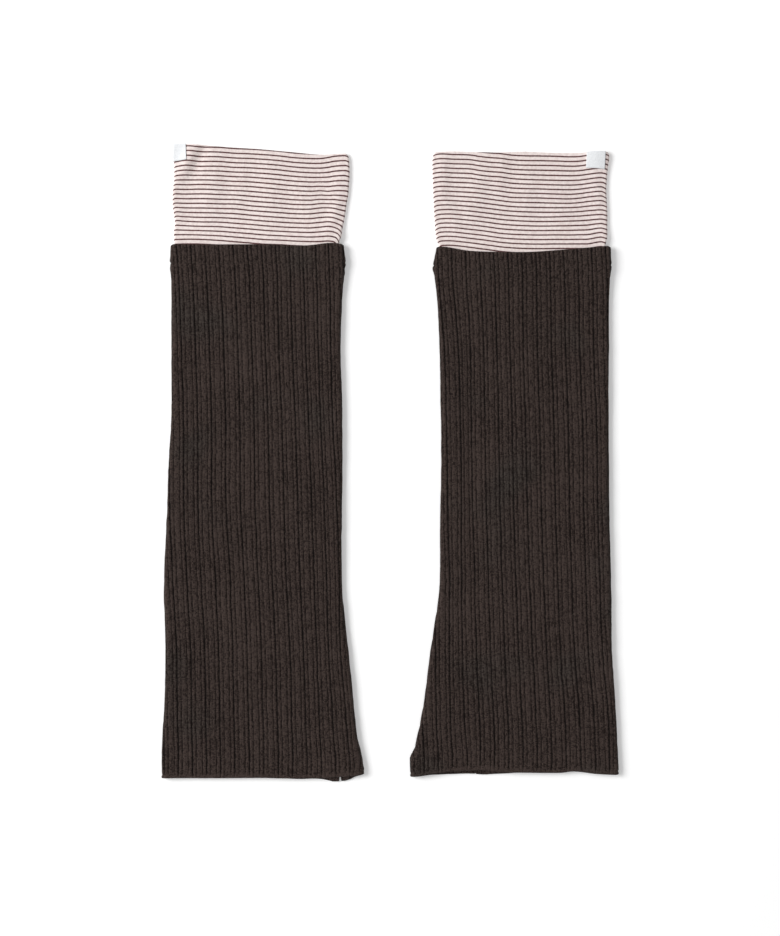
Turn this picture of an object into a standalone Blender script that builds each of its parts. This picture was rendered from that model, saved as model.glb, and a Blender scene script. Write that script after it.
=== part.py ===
"""A pair of leg warmers, laid flat side by side.

Each one is a long tube of rib knit with a turned hem at its upper end and a gentle flare at its lower end,
a double cuff of fine striped jersey that comes out of that hem, and a small label folded over the cuff's edge.
X runs across the pair, Y up the legs and Z up from the surface they lie on. Tables and sizes are in
millimetres; the meshes are made in metres.
"""

import bisect
import math
from collections import namedtuple
from functools import partial

import bmesh
import bpy

MM = 0.001
SEAM_GAP = 0.3  # clear space between two pieces of cloth

# Rib knit. One repeat is a main groove, a narrow rib, a fine groove, a wide rib, a fine groove and a narrow rib.
RIB_REPEAT = 10.1
RIB_RISE = 0.95
RibPoint = namedtuple("RibPoint", "across rise")  # share of a repeat, share of the rise
RIB_PROFILE = (
    RibPoint(0.00, 0.00),
    RibPoint(0.15, 0.80),
    RibPoint(0.29, 0.32),
    RibPoint(0.38, 1.00),
    RibPoint(0.62, 1.00),
    RibPoint(0.71, 0.32),
    RibPoint(0.86, 0.80),
)
OUTLINE_RISE = 0.7 * RIB_RISE  # the ribs stand this far out where the outline is read
PLAIN_EDGE = 3.0  # the ribs flatten out over the last few millimetres above the lower edge
RIBS_AT_FOLDED_EDGE = 0.5  # share of the rise that is left where the hem turns over

# Walls of the body: the underside, the front between the ribs, and round the side folds.
BODY_BACK_WALL = 1.9
BODY_FRONT_WALL = 1.5
BODY_SIDE_WALL = 1.7
HEM_BACK_WALL = 1.6
HEM_DEPTH = 13.5

# The cuff is double, so its wall is two layers of jersey.
CUFF_WALL = 1.0
CUFF_HOLLOW = 0.4
CUFF_FLAT = 2 * CUFF_WALL + CUFF_HOLLOW
CUFF_REACH = 12.5  # how far the cuff goes down inside the body's hem

LABEL_WALL = 1.0
LABEL_WIDTH = 13.7
LABEL_DROP = 11.2
LABEL_INSIDE = 3.5
LABEL_STATIONS = (1.0, 0.67, 0.33)  # shares of its drop where the label and the cuff under it both have points
LABEL_LIP = -0.6  # near the side fold the label's inner end only reaches this far in over the cuff's edge
LABEL_COLUMNS = 12
LABEL_MOST_TURN = math.radians(112)  # how far round the side fold a label reaches

# Along the label's width, counted back from where the front panel ends: its inner end is shortened, then drawn out.
LABEL_SHORTENED = (4.5, 3.0)
LABEL_DRAWN_OUT = (2.5, 0.5)

ROUNDED_EDGE = 0.6  # how far a cut or folded edge is rounded over
EDGE_STEADY = 14.0  # an edge's waves carry on unchanged this far into the cloth
EDGE_FADE = 60.0  # and have died away here
CORNER_WIDTH = 6.5  # the upper edge dips towards each side fold over this width
CORNER_FADE = 12.0  # and the dip has died away this far down

Outline = namedtuple("Outline", "y left right")
Grain = namedtuple("Grain", "y groove0 groove2 groove6 groove10")  # where those main grooves lie across
EdgeWave = namedtuple("EdgeWave", "x front back")  # how far the edge of each layer lies above its mean line
Ridge = namedtuple("Ridge", "x y across along lean lift")  # a soft rise, or a trough where lift is below zero
Bulk = namedtuple("Bulk", "below_top floor_wall front")  # thickness of the underside, height of the front
LabelPlace = namedtuple("LabelPlace", "edge_x side lean")  # its edge on the front panel, which way it goes, lean

BODY_BULK = (
    Bulk(0.0, HEM_BACK_WALL, 6.1),
    Bulk(HEM_DEPTH, HEM_BACK_WALL, 6.1),
    Bulk(HEM_DEPTH + 7.0, 1.8, 4.9),
    Bulk(HEM_DEPTH + 16.0, BODY_BACK_WALL, 4.3),
    Bulk(HEM_DEPTH + 90.0, BODY_BACK_WALL, 4.2),
)
FOLD_BULGE = 0.5  # the side folds of the body stand this much higher than the panel between them
FOLD_BULGE_WIDTH = 9.0
BELOW_HEM = 20.0  # the panel takes up its own rises over this length below the turned hem
HEM_BACK_STEPS = (16.0, 7.0, 0.0)  # places of the hollow's rings below the turned hem, where its back wall thins

# Points in a ring: over the front, round each side fold, and underneath.
Around = namedtuple("Around", "front fold underside")
BODY_HOLLOW_POINTS = Around(14, 4, 12)
CUFF_POINTS = Around(34, 6, 10)
CUFF_HOLLOW_POINTS = Around(28, 2, 8)
UNDERSIDE_POINTS = 8  # under the ribbed body, between its last rib and its first

# Past the body's upper edge the cuff comes down onto the surface, then flattens, then takes up its own rises.
CUFF_CLEAR = 3.0  # above the highest part of that edge
CUFF_LANDS = 9.0
CUFF_RISES = 14.0
CUFF_SETTLES = 18.0
CUFF_LIGHTER = 0.1  # the settled cuff is this much thicker than the held one

Leg = namedtuple(
    "Leg",
    "name hem top outline grain first_repeat last_repeat hem_waves top_waves ridges"
    " corner_dips cuff_top cuff_outline cuff_waves cuff_ridges label",
)

LEFT = Leg(
    name="left",
    hem=-227.8,
    top=156.2,
    outline=(
        Outline(-227.8, -164.2, -21.2),
        Outline(-225.0, -164.6, -19.6),
        Outline(-221.0, -164.7, -19.2),
        Outline(-211.3, -164.5, -20.7),
        Outline(-200.5, -164.2, -23.2),
        Outline(-178.9, -162.8, -25.8),
        Outline(-157.3, -162.1, -27.9),
        Outline(-135.7, -161.6, -30.3),
        Outline(-114.1, -162.2, -32.5),
        Outline(-92.5, -163.0, -34.4),
        Outline(-49.3, -161.2, -34.9),
        Outline(-6.1, -159.6, -34.5),
        Outline(37.1, -157.4, -34.4),
        Outline(80.3, -157.4, -35.6),
        Outline(112.7, -157.8, -34.8),
        Outline(132.0, -158.0, -33.3),
        Outline(142.0, -158.8, -31.9),
        Outline(151.0, -158.4, -33.2),
        Outline(154.5, -158.4, -33.5),
        Outline(156.2, -158.3, -33.7),
    ),
    grain=(
        Grain(-219.0, -132.5, -112.3, -70.6, -29.5),
        Grain(-172.0, -133.2, -112.9, -71.8, -32.4),
        Grain(-136.0, -133.9, -113.8, -72.7, -35.9),
        Grain(-100.0, -136.1, -115.2, -74.2, -37.4),
        Grain(-46.0, -138.2, -118.1, -76.3, -38.2),
        Grain(26.0, -139.0, -118.8, -78.5, -41.8),
        Grain(98.0, -141.1, -121.0, -80.6, -43.2),
        Grain(152.0, -144.0, -123.5, -83.2, -44.6),
    ),
    first_repeat=-4,
    last_repeat=12,
    hem_waves=(
        EdgeWave(-164.0, 0.5, 0.4),
        EdgeWave(-130.0, 0.2, 0.2),
        EdgeWave(-80.0, -0.3, -0.2),
        EdgeWave(-58.0, 0.4, -0.5),
        EdgeWave(-47.0, 1.0, -1.9),
        EdgeWave(-36.0, 1.5, -2.3),
        EdgeWave(-30.0, 1.9, -1.6),
        EdgeWave(-23.0, 2.5, 1.6),
    ),
    top_waves=(
        EdgeWave(-156.0, 0.2, 0.2),
        EdgeWave(-126.0, 0.0, -0.1),
        EdgeWave(-86.0, 0.0, 0.1),
        EdgeWave(-61.0, -0.8, -0.6),
        EdgeWave(-43.0, 1.1, 0.9),
        EdgeWave(-35.0, 0.4, 0.4),
    ),
    ridges=(
        Ridge(-139.0, 35.0, 5.0, 60.0, -0.02, -0.4),
        Ridge(-150.0, -20.0, 6.0, 90.0, -0.02, 0.5),
        Ridge(-98.0, 60.0, 16.0, 80.0, -0.03, 0.5),
        Ridge(-62.0, -40.0, 14.0, 90.0, -0.03, 0.4),
        Ridge(-96.0, -150.0, 18.0, 50.0, -0.05, 0.6),
        Ridge(-42.0, -185.0, 9.0, 40.0, -0.14, 0.6),
    ),
    corner_dips=(4.0, 1.5),
    cuff_top=225.0,
    cuff_outline=(
        Outline(142.0, -155.1, -36.8),
        Outline(157.0, -155.1, -36.7),
        Outline(162.0, -155.3, -35.0),
        Outline(169.6, -155.3, -33.8),
        Outline(178.2, -155.5, -32.4),
        Outline(186.8, -155.9, -31.2),
        Outline(195.5, -155.9, -29.9),
        Outline(208.4, -155.7, -29.2),
        Outline(217.0, -155.7, -29.3),
        Outline(222.5, -155.7, -29.9),
        Outline(225.0, -155.5, -31.4),
    ),
    cuff_waves=(
        EdgeWave(-155.0, 3.4, 3.2),
        EdgeWave(-142.0, 3.6, 3.4),
        EdgeWave(-120.0, 1.8, 1.6),
        EdgeWave(-94.0, 0.0, -0.3),
        EdgeWave(-72.0, -2.4, -2.7),
        EdgeWave(-58.0, -4.0, -4.2),
        EdgeWave(-46.0, -4.0, -4.2),
        EdgeWave(-32.0, -3.0, -3.2),
    ),
    cuff_ridges=(
        Ridge(-150.0, 224.0, 13.0, 11.0, 0.0, 1.5),
        Ridge(-150.0, 205.0, 6.0, 22.0, 0.25, 0.7),
        Ridge(-128.0, 190.0, 8.0, 26.0, 0.15, 0.6),
        Ridge(-92.0, 200.0, 12.0, 30.0, 0.0, 0.7),
        Ridge(-60.0, 186.0, 11.0, 24.0, -0.2, 0.6),
        Ridge(-36.0, 200.0, 6.0, 26.0, 0.2, 0.9),
    ),
    label=LabelPlace(edge_x=-146.3, side=-1, lean=-0.035),
)

RIGHT = Leg(
    name="right",
    hem=-226.0,
    top=153.0,
    outline=(
        Outline(-226.0, 15.0, 164.0),
        Outline(-223.0, 14.4, 164.5),
        Outline(-217.0, 14.1, 164.2),
        Outline(-211.3, 14.4, 163.9),
        Outline(-207.0, 16.0, 163.7),
        Outline(-200.5, 18.7, 163.4),
        Outline(-178.9, 23.2, 162.2),
        Outline(-157.3, 26.4, 161.1),
        Outline(-135.7, 29.1, 159.9),
        Outline(-114.1, 32.3, 159.4),
        Outline(-92.5, 35.2, 159.1),
        Outline(-49.3, 35.8, 158.0),
        Outline(-6.1, 36.6, 157.5),
        Outline(37.1, 36.3, 157.1),
        Outline(80.3, 35.5, 157.4),
        Outline(112.7, 33.7, 157.6),
        Outline(129.0, 31.8, 158.3),
        Outline(138.0, 30.9, 159.2),
        Outline(147.0, 32.0, 158.7),
        Outline(151.3, 32.4, 158.6),
        Outline(153.0, 32.5, 158.5),
    ),
    grain=(
        Grain(-219.0, 44.6, 64.8, 105.8, 147.8),
        Grain(-172.0, 42.5, 63.4, 104.4, 145.4),
        Grain(-136.0, 42.6, 61.9, 102.2, 142.6),
        Grain(-100.0, 43.2, 60.6, 100.4, 141.6),
        Grain(-64.0, 41.8, 60.3, 99.4, 139.7),
        Grain(-28.0, 41.0, 59.2, 98.4, 139.0),
        Grain(44.0, 39.6, 58.3, 96.5, 137.3),
        Grain(98.0, 38.2, 56.9, 95.2, 135.5),
        Grain(134.0, 35.4, 54.9, 94.7, 135.2),
        Grain(152.0, 34.9, 54.5, 93.8, 134.5),
    ),
    first_repeat=-4,
    last_repeat=13,
    hem_waves=(
        EdgeWave(15.0, 0.2, -0.3),
        EdgeWave(25.0, 0.6, -0.3),
        EdgeWave(40.0, 1.6, 0.6),
        EdgeWave(55.0, 2.2, 1.0),
        EdgeWave(62.0, 2.2, 0.5),
        EdgeWave(80.0, 2.4, 1.4),
        EdgeWave(110.0, 2.7, 2.6),
        EdgeWave(129.0, 3.1, 3.1),
        EdgeWave(150.0, 1.5, 1.5),
        EdgeWave(163.0, 0.9, 0.9),
    ),
    top_waves=(
        EdgeWave(34.0, 1.7, 1.6),
        EdgeWave(40.0, 1.4, 1.2),
        EdgeWave(57.0, -1.4, -1.6),
        EdgeWave(80.0, -2.2, -2.3),
        EdgeWave(101.0, -2.2, -2.2),
        EdgeWave(122.0, -0.8, -1.0),
        EdgeWave(140.0, 0.7, 0.5),
        EdgeWave(156.0, 2.1, 2.0),
    ),
    ridges=(
        Ridge(58.0, 0.0, 5.0, 95.0, -0.02, -0.4),
        Ridge(47.0, -10.0, 6.0, 90.0, -0.03, 0.6),
        Ridge(105.0, 50.0, 18.0, 90.0, -0.03, 0.5),
        Ridge(140.0, -40.0, 12.0, 90.0, -0.03, 0.4),
        Ridge(95.0, -150.0, 20.0, 50.0, -0.05, 0.6),
        Ridge(36.0, -185.0, 9.0, 40.0, 0.16, 0.6),
    ),
    corner_dips=(2.5, 4.0),
    cuff_top=222.8,
    cuff_outline=(
        Outline(139.0, 35.5, 155.0),
        Outline(155.0, 35.5, 155.0),
        Outline(160.0, 33.8, 156.1),
        Outline(170.0, 32.6, 156.2),
        Outline(178.2, 32.0, 156.2),
        Outline(186.8, 31.6, 155.8),
        Outline(195.5, 31.5, 155.5),
        Outline(204.0, 30.8, 156.1),
        Outline(213.0, 30.5, 157.1),
        Outline(218.0, 30.3, 157.9),
        Outline(221.0, 31.0, 157.8),
        Outline(222.8, 32.2, 157.0),
    ),
    cuff_waves=(
        EdgeWave(32.0, 0.2, 0.0),
        EdgeWave(45.0, 0.7, 0.4),
        EdgeWave(72.0, 0.0, -0.3),
        EdgeWave(110.0, -0.2, -0.5),
        EdgeWave(133.0, -0.6, -0.8),
        EdgeWave(151.0, 0.7, 0.5),
        EdgeWave(157.0, 0.5, 0.3),
    ),
    cuff_ridges=(
        Ridge(149.0, 221.0, 13.0, 11.0, 0.0, 1.5),
        Ridge(36.0, 200.0, 6.0, 26.0, 0.05, 0.8),
        Ridge(60.0, 196.0, 10.0, 28.0, 0.2, 0.7),
        Ridge(92.0, 205.0, 9.0, 30.0, 0.1, 0.7),
        Ridge(120.0, 186.0, 12.0, 26.0, -0.15, 0.6),
        Ridge(150.0, 190.0, 7.0, 26.0, -0.1, 0.7),
    ),
    label=LabelPlace(edge_x=141.8, side=1, lean=0.07),
)


def smooth_step(value, start, end):
    """0 at start and before it, 1 at end and past it, and a soft curve between."""
    share = min(max((value - start) / (end - start), 0.0), 1.0)
    return share * share * (3 - 2 * share)


def read(rows, column, at):
    """A column of a table at any place along its first column, on a smooth curve through the rows."""
    places = [row[0] for row in rows]
    values = [getattr(row, column) for row in rows]
    if at <= places[0]:
        return values[0]
    if at >= places[-1]:
        return values[-1]
    low = bisect.bisect_right(places, at) - 1
    high = low + 1

    def slope(index):
        before, after = max(index - 1, 0), min(index + 1, len(places) - 1)
        return (values[after] - values[before]) / (places[after] - places[before])

    span = places[high] - places[low]
    share = (at - places[low]) / span
    rise = smooth_step(share, 0, 1)
    start_pull = span * slope(low) * share * (1 - share) ** 2
    end_pull = span * slope(high) * share**2 * (1 - share)
    return values[low] + (values[high] - values[low]) * rise + start_pull - end_pull


def ridge_height(ridges, x, y):
    """The height that all the soft rises and troughs of a panel add at a place."""
    total = 0.0
    for ridge in ridges:
        across = (x - ridge.x - ridge.lean * (y - ridge.y)) / ridge.across
        along = (y - ridge.y) / ridge.along
        total += ridge.lift * math.exp(-(across**2) - along**2)
    return total


# A place on a tube: how far the cloth has turned there from facing up, as an angle, and its share of the way round.
Spot = namedtuple("Spot", "x z outward_x outward_z turn share")
PANEL_SHARE, FOLD_SHARE = 0.4, 0.1  # of the way round, whatever their true widths


class FlatTube:
    """A tube of cloth pressed flat: its underside, its front panel and the round folds at its two sides.

    A place round the tube is given by its unrolled distance. On the front panel that distance is X itself, and it
    carries on round the folds and along the underside at the same rate.
    """

    def __init__(self, left, right, floor, front):
        self.left, self.right, self.floor, self.front = left, right, floor, front

    def inside(self, side_wall, back_wall, front_wall):
        """The hollow of this tube, as another flat tube."""
        return FlatTube(
            lambda y: self.left(y) + side_wall,
            lambda y: self.right(y) - side_wall,
            lambda y: self.floor(y) + back_wall(y),
            lambda x, y: self.front(x, y) - front_wall,
        )

    def fold_radius(self, y, edge, inward):
        radius = (self.front(edge, y) - self.floor(y)) / 2
        return (self.front(edge + inward * radius, y) - self.floor(y)) / 2

    def folds(self, y):
        """Where the front panel ends at each side, and the two radii it turns down with."""
        left, right = self.left(y), self.right(y)
        left_radius, right_radius = self.fold_radius(y, left, 1), self.fold_radius(y, right, -1)
        return left + left_radius, right - right_radius, left_radius, right_radius

    def perimeter(self, y):
        start, end, left_radius, right_radius = self.folds(y)
        return 2 * (end - start) + math.pi * (left_radius + right_radius)

    def middle(self, y):
        return (self.left(y) + self.right(y)) / 2

    def place(self, y, unrolled):
        start, end, left_radius, right_radius = self.folds(y)
        if start <= unrolled <= end:
            share = PANEL_SHARE * (unrolled - start) / (end - start)
            return Spot(unrolled, self.front(unrolled, y), 0.0, 1.0, 0.0, share)
        perimeter = self.perimeter(y)
        if unrolled > self.middle(y) + perimeter / 2:
            unrolled -= perimeter
        side, centre, radius = (-1, start, left_radius) if unrolled < start else (1, end, right_radius)
        past = side * (unrolled - centre)
        if past >= math.pi * radius:
            x = centre - side * (past - math.pi * radius)
            share = PANEL_SHARE + FOLD_SHARE + PANEL_SHARE * (end - x) / (end - start)
            return Spot(x, self.floor(y), 0.0, -1.0, math.pi, share)
        turn = past / radius
        outward_x, outward_z = side * math.sin(turn), math.cos(turn)
        z = self.floor(y) + radius * (1 + outward_z)
        turned_share = FOLD_SHARE * turn / math.pi
        share = 1 - turned_share if side < 0 else PANEL_SHARE + turned_share
        return Spot(centre + radius * outward_x, z, outward_x, outward_z, turn, share)


def edge_shift(waves, x, turn, distance):
    """How far a point moves along Y to follow its edge's waves, by its distance from that edge."""
    underside = smooth_step(turn, 0, math.pi)
    wave = read(waves, "front", x) * (1 - underside) + read(waves, "back", x) * underside
    return wave * (1 - smooth_step(distance, EDGE_STEADY, EDGE_FADE))


def body_shift(leg, x, y, turn):
    """The waves of the body's two edges, and the dips at the upper edge's corners."""
    shift = edge_shift(leg.hem_waves, x, turn, y - leg.hem) + edge_shift(leg.top_waves, x, turn, leg.top - y)
    from_left, from_right = x - read(leg.outline, "left", y), read(leg.outline, "right", y) - x
    left_dip, right_dip = leg.corner_dips
    dip = left_dip * (1 - smooth_step(from_left, 0, CORNER_WIDTH))
    dip += right_dip * (1 - smooth_step(from_right, 0, CORNER_WIDTH))
    return shift - dip * (1 - smooth_step(leg.top - y, 0, CORNER_FADE))


def cuff_shift(leg, x, y, turn):
    """The cuff's lower end follows the hem that holds it, and its upper edge has waves of its own."""
    held = edge_shift(leg.top_waves, x, turn, abs(y - leg.top))
    return held + edge_shift(leg.cuff_waves, x, turn, abs(leg.cuff_top - y))


Ring = namedtuple("Ring", "points shares")  # points in order round the tube, and each one's share of the way round


def ring_of(tube, y, unrolled, shift, inset=0.0, rise=lambda distance, turn: 0.0):
    """One closed ring of points round a tube, moved by its edges' waves, drawn in at an edge and raised by ribs."""
    found = []
    for distance in unrolled:
        spot = tube.place(y, distance)
        out = rise(distance, spot.turn) - inset
        moved = shift(spot.x, y, spot.turn)
        point = (spot.x + out * spot.outward_x, y + moved, spot.z + out * spot.outward_z)
        found.append((point, spot.share))
    return Ring(*zip(*found))


def even_places(tube, y, around):
    """Unrolled distances spread evenly over the front, round each fold and under the tube."""
    start, end, left_radius, right_radius = tube.folds(y)
    left_turn, right_turn = math.pi * left_radius, math.pi * right_radius
    stretches = (
        (start, end, around.front),
        (end, end + right_turn, around.fold),
        (end + right_turn, end + right_turn + end - start, around.underside),
        (start - left_turn, start, around.fold),
    )
    return [
        low + (high - low) * step / count for low, high, count in stretches for step in range(count)
    ]


def new_object(name, material, mesh_data):
    """Finishes a mesh as a smooth closed object of one material."""
    bmesh.ops.recalc_face_normals(mesh_data, faces=mesh_data.faces)
    mesh = bpy.data.meshes.new(name)
    mesh_data.to_mesh(mesh)
    mesh_data.free()
    mesh.materials.append(material)
    mesh.shade_smooth()
    mesh.set_sharp_from_angle(angle=math.radians(50))
    obj = bpy.data.objects.new(name, mesh)
    bpy.context.scene.collection.objects.link(obj)
    return obj


def add_points(mesh_data, points):
    return [mesh_data.verts.new([value * MM for value in point]) for point in points]


def add_sleeve(mesh_data, rings):
    """Joins rings of equal count in order, and returns the first and last ring's vertices."""
    loops = [add_points(mesh_data, ring.points) for ring in rings]
    for lower, upper in zip(loops, loops[1:]):
        for index in range(len(lower)):
            following = (index + 1) % len(lower)
            mesh_data.faces.new((lower[index], lower[following], upper[following], upper[index]))
    return loops[0], loops[-1]


def from_first_share(loop, shares):
    """A loop's vertices and shares, turned to start at the lowest share, with the first share again at the end."""
    start = shares.index(min(shares))
    turned_shares = [*shares[start:], *shares[:start]]
    return loop[start:] + loop[:start], [*turned_shares, turned_shares[0] + 1]


def close_edge(mesh_data, outer, outer_shares, inner, inner_shares):
    """Closes the cloth's edge between an outer and an inner ring that hold different counts of points."""
    outer, outer_shares = from_first_share(outer, outer_shares)
    inner, inner_shares = from_first_share(inner, inner_shares)
    i = j = 0
    while i < len(outer) or j < len(inner):
        here, there = outer[i % len(outer)], inner[j % len(inner)]
        if j == len(inner) or (i < len(outer) and outer_shares[i + 1] <= inner_shares[j + 1]):
            i += 1
            mesh_data.faces.new((here, outer[i % len(outer)], there))
        else:
            j += 1
            mesh_data.faces.new((here, inner[j % len(inner)], there))


def new_tube(name, material, outer_rings, inner_rings):
    mesh_data = bmesh.new()
    outer_ends = add_sleeve(mesh_data, outer_rings)
    inner_ends = add_sleeve(mesh_data, inner_rings)
    for end in (0, 1):
        outer_ring, inner_ring = outer_rings[-end], inner_rings[-end]
        close_edge(mesh_data, outer_ends[end], outer_ring.shares, inner_ends[end], inner_ring.shares)
    return new_object(name, material, mesh_data)


def body_tube(leg):
    """The outside of the ribbed body at the depth of its grooves."""

    def front(x, y):
        panel = read(BODY_BULK, "front", leg.top - y)
        from_fold = min(x - read(leg.outline, "left", y), read(leg.outline, "right", y) - x)
        below_hem = smooth_step(leg.top - y, HEM_DEPTH, HEM_DEPTH + BELOW_HEM)
        bulge = FOLD_BULGE * math.exp(-((from_fold / FOLD_BULGE_WIDTH) ** 2))
        return panel + below_hem * (bulge + ridge_height(leg.ridges, x, y))

    return FlatTube(
        lambda y: read(leg.outline, "left", y) + OUTLINE_RISE,
        lambda y: read(leg.outline, "right", y) - OUTLINE_RISE,
        lambda y: 0.0,
        front,
    )


def body_hollow(leg):
    return body_tube(leg).inside(
        BODY_SIDE_WALL, lambda y: read(BODY_BULK, "floor_wall", leg.top - y), BODY_FRONT_WALL
    )


def groove_place(leg, y, repeat):
    """Unrolled distance of a place in the rib pattern, counted in repeats from the leg's main groove 0."""
    known = (0, 2, 6, 10)
    places = [read(leg.grain, f"groove{number}", y) for number in known]
    if repeat < known[0]:
        return places[0] + (repeat - known[0]) * RIB_REPEAT
    if repeat > known[-1]:
        return places[-1] + (repeat - known[-1]) * RIB_REPEAT
    low = max(index for index in range(len(known) - 1) if known[index] <= repeat)
    share = (repeat - known[low]) / (known[low + 1] - known[low])
    return places[low] + share * (places[low + 1] - places[low])


def rib_fade(turn):
    """The ribs stand full on the front and round the side, and are pressed flat underneath."""
    return 1 - smooth_step(turn, math.radians(95), math.radians(165))


def rib_ring(leg, tube, y, inset, ribs_stand):
    """A ring round the outside of the body, with a point at each turn of the rib profile."""
    unrolled, rises = [], []
    for repeat in range(leg.first_repeat, leg.last_repeat):
        for point in RIB_PROFILE:
            unrolled.append(groove_place(leg, y, repeat + point.across))
            rises.append(point.rise * RIB_RISE * ribs_stand)
    rise_at = dict(zip(unrolled, rises))
    spare = tube.perimeter(y) - (unrolled[-1] - unrolled[0])
    for step in range(1, UNDERSIDE_POINTS + 1):
        unrolled.append(unrolled[len(rises) - 1] + spare * step / (UNDERSIDE_POINTS + 1))

    def rise(distance, turn):
        return rise_at.get(distance, 0.0) * rib_fade(turn)

    return ring_of(tube, y, unrolled, partial(body_shift, leg), inset, rise)


def make_body(leg, material):
    """A tube of rib knit: ribs raised in its outer points over a plain inside."""
    tube, hollow = body_tube(leg), body_hollow(leg)
    between = [row.y for row in leg.outline[1:-1]]
    outer = [rib_ring(leg, tube, leg.hem, ROUNDED_EDGE, 0.0)]
    for y in between:
        ribs_stand = smooth_step(y, leg.hem, leg.hem + PLAIN_EDGE)
        outer.append(rib_ring(leg, tube, y, 0.0, ribs_stand))
    outer.append(rib_ring(leg, tube, leg.top, ROUNDED_EDGE, RIBS_AT_FOLDED_EDGE))
    hem_end = leg.top - HEM_DEPTH
    steps = [hem_end - below for below in HEM_BACK_STEPS]
    plain = [y for y in between[1::2] if y < steps[0] - HEM_DEPTH]
    inner = [
        ring_of(hollow, y, even_places(hollow, y, BODY_HOLLOW_POINTS), partial(body_shift, leg))
        for y in (leg.hem, *plain, *steps, leg.top - CORNER_WIDTH, leg.top)
    ]
    return new_tube(f"rib_body_{leg.name}", material, outer, inner)


def cuff_tube(leg):
    """The outside of the cuff: held between the layers of the hem, then down onto the surface past it."""
    lifted = HEM_BACK_WALL + SEAM_GAP
    clear = leg.top + CUFF_CLEAR

    def floor(y):
        return lifted * (1 - smooth_step(y, clear, clear + CUFF_LANDS))

    def front(x, y):
        sunk = (lifted - CUFF_LIGHTER) * smooth_step(y, clear, clear + CUFF_SETTLES)
        risen = smooth_step(y, clear, clear + CUFF_RISES) * ridge_height(leg.cuff_ridges, x, y)
        return lifted + CUFF_FLAT - sunk + risen

    return FlatTube(
        lambda y: read(leg.cuff_outline, "left", y),
        lambda y: read(leg.cuff_outline, "right", y),
        floor,
        front,
    )


def make_cuff(leg, material):
    """A double tube of striped jersey, folded at its upper edge."""
    tube = cuff_tube(leg)
    hollow = tube.inside(CUFF_WALL, lambda y: CUFF_WALL, CUFF_WALL)
    edge, shift = leg.cuff_top, partial(cuff_shift, leg)
    stations = [leg.top - CUFF_REACH, leg.top + 2, leg.top + 7]
    stations += [row.y for row in leg.cuff_outline if leg.top + 12 < row.y < edge - LABEL_DROP - 3]
    stations += [edge - LABEL_DROP * share for share in LABEL_STATIONS] + [edge - ROUNDED_EDGE]
    outer = [ring_of(tube, y, even_places(tube, y, CUFF_POINTS), shift) for y in stations]
    outer.append(ring_of(tube, edge, even_places(tube, edge, CUFF_POINTS), shift, ROUNDED_EDGE / 2))
    inner = [ring_of(hollow, y, even_places(hollow, y, CUFF_HOLLOW_POINTS), shift) for y in (*stations, edge)]
    return new_tube(f"striped_cuff_{leg.name}", material, outer, inner)


def label_profile(shortened, drawn_out):
    """The label's section, as (outward from the cuff's front, up from the cuff's edge) pairs in order.

    On the flat panel the label goes over the edge and down inside the cuff. Towards the side fold its inner end is
    first shortened to the edge, then drawn outwards, until only a lip lies over the edge.
    """
    near, far = SEAM_GAP, SEAM_GAP + LABEL_WALL
    inside_near, inside_far = -CUFF_WALL - near, -CUFF_WALL - far

    def inward(flat, folded):
        return flat + (folded - flat) * drawn_out

    def height(flat, folded):
        return flat + (folded - flat) * shortened

    return (
        *((far, -LABEL_DROP * share) for share in LABEL_STATIONS),
        (far, 0.0),
        (far * 0.75, far * 0.75),
        (0.0, far),
        (inward(-CUFF_WALL, LABEL_LIP * 0.7), far),
        (inward(inside_far * 0.9, LABEL_LIP), far * 0.8),
        (inward(inside_far, LABEL_LIP * 1.2), height(0.0, far / 2)),
        (inward(inside_far, LABEL_LIP * 1.2), height(-LABEL_INSIDE, near * 2)),
        (inward(inside_near, LABEL_LIP), height(-LABEL_INSIDE, near * 1.3)),
        (inward(inside_near, LABEL_LIP * 0.75), near),
        (near, near),
        *((near, -LABEL_DROP * share) for share in reversed(LABEL_STATIONS)),
    )


# The point across the label's thickness from each of the section's first ten, which run along its outer side.
ACROSS_LABEL = (15, 14, 13, 12, 12, 12, 11, 11, 11, 10)


def close_label_side(mesh_data, section):
    """Closes a side edge of the label with faces that cross its thickness."""
    for index in range(len(ACROSS_LABEL) - 1):
        here, following = ACROSS_LABEL[index], ACROSS_LABEL[index + 1]
        corners = [section[index], section[index + 1], section[following]]
        if following != here:
            corners.append(section[here])
        mesh_data.faces.new(corners)


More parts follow.
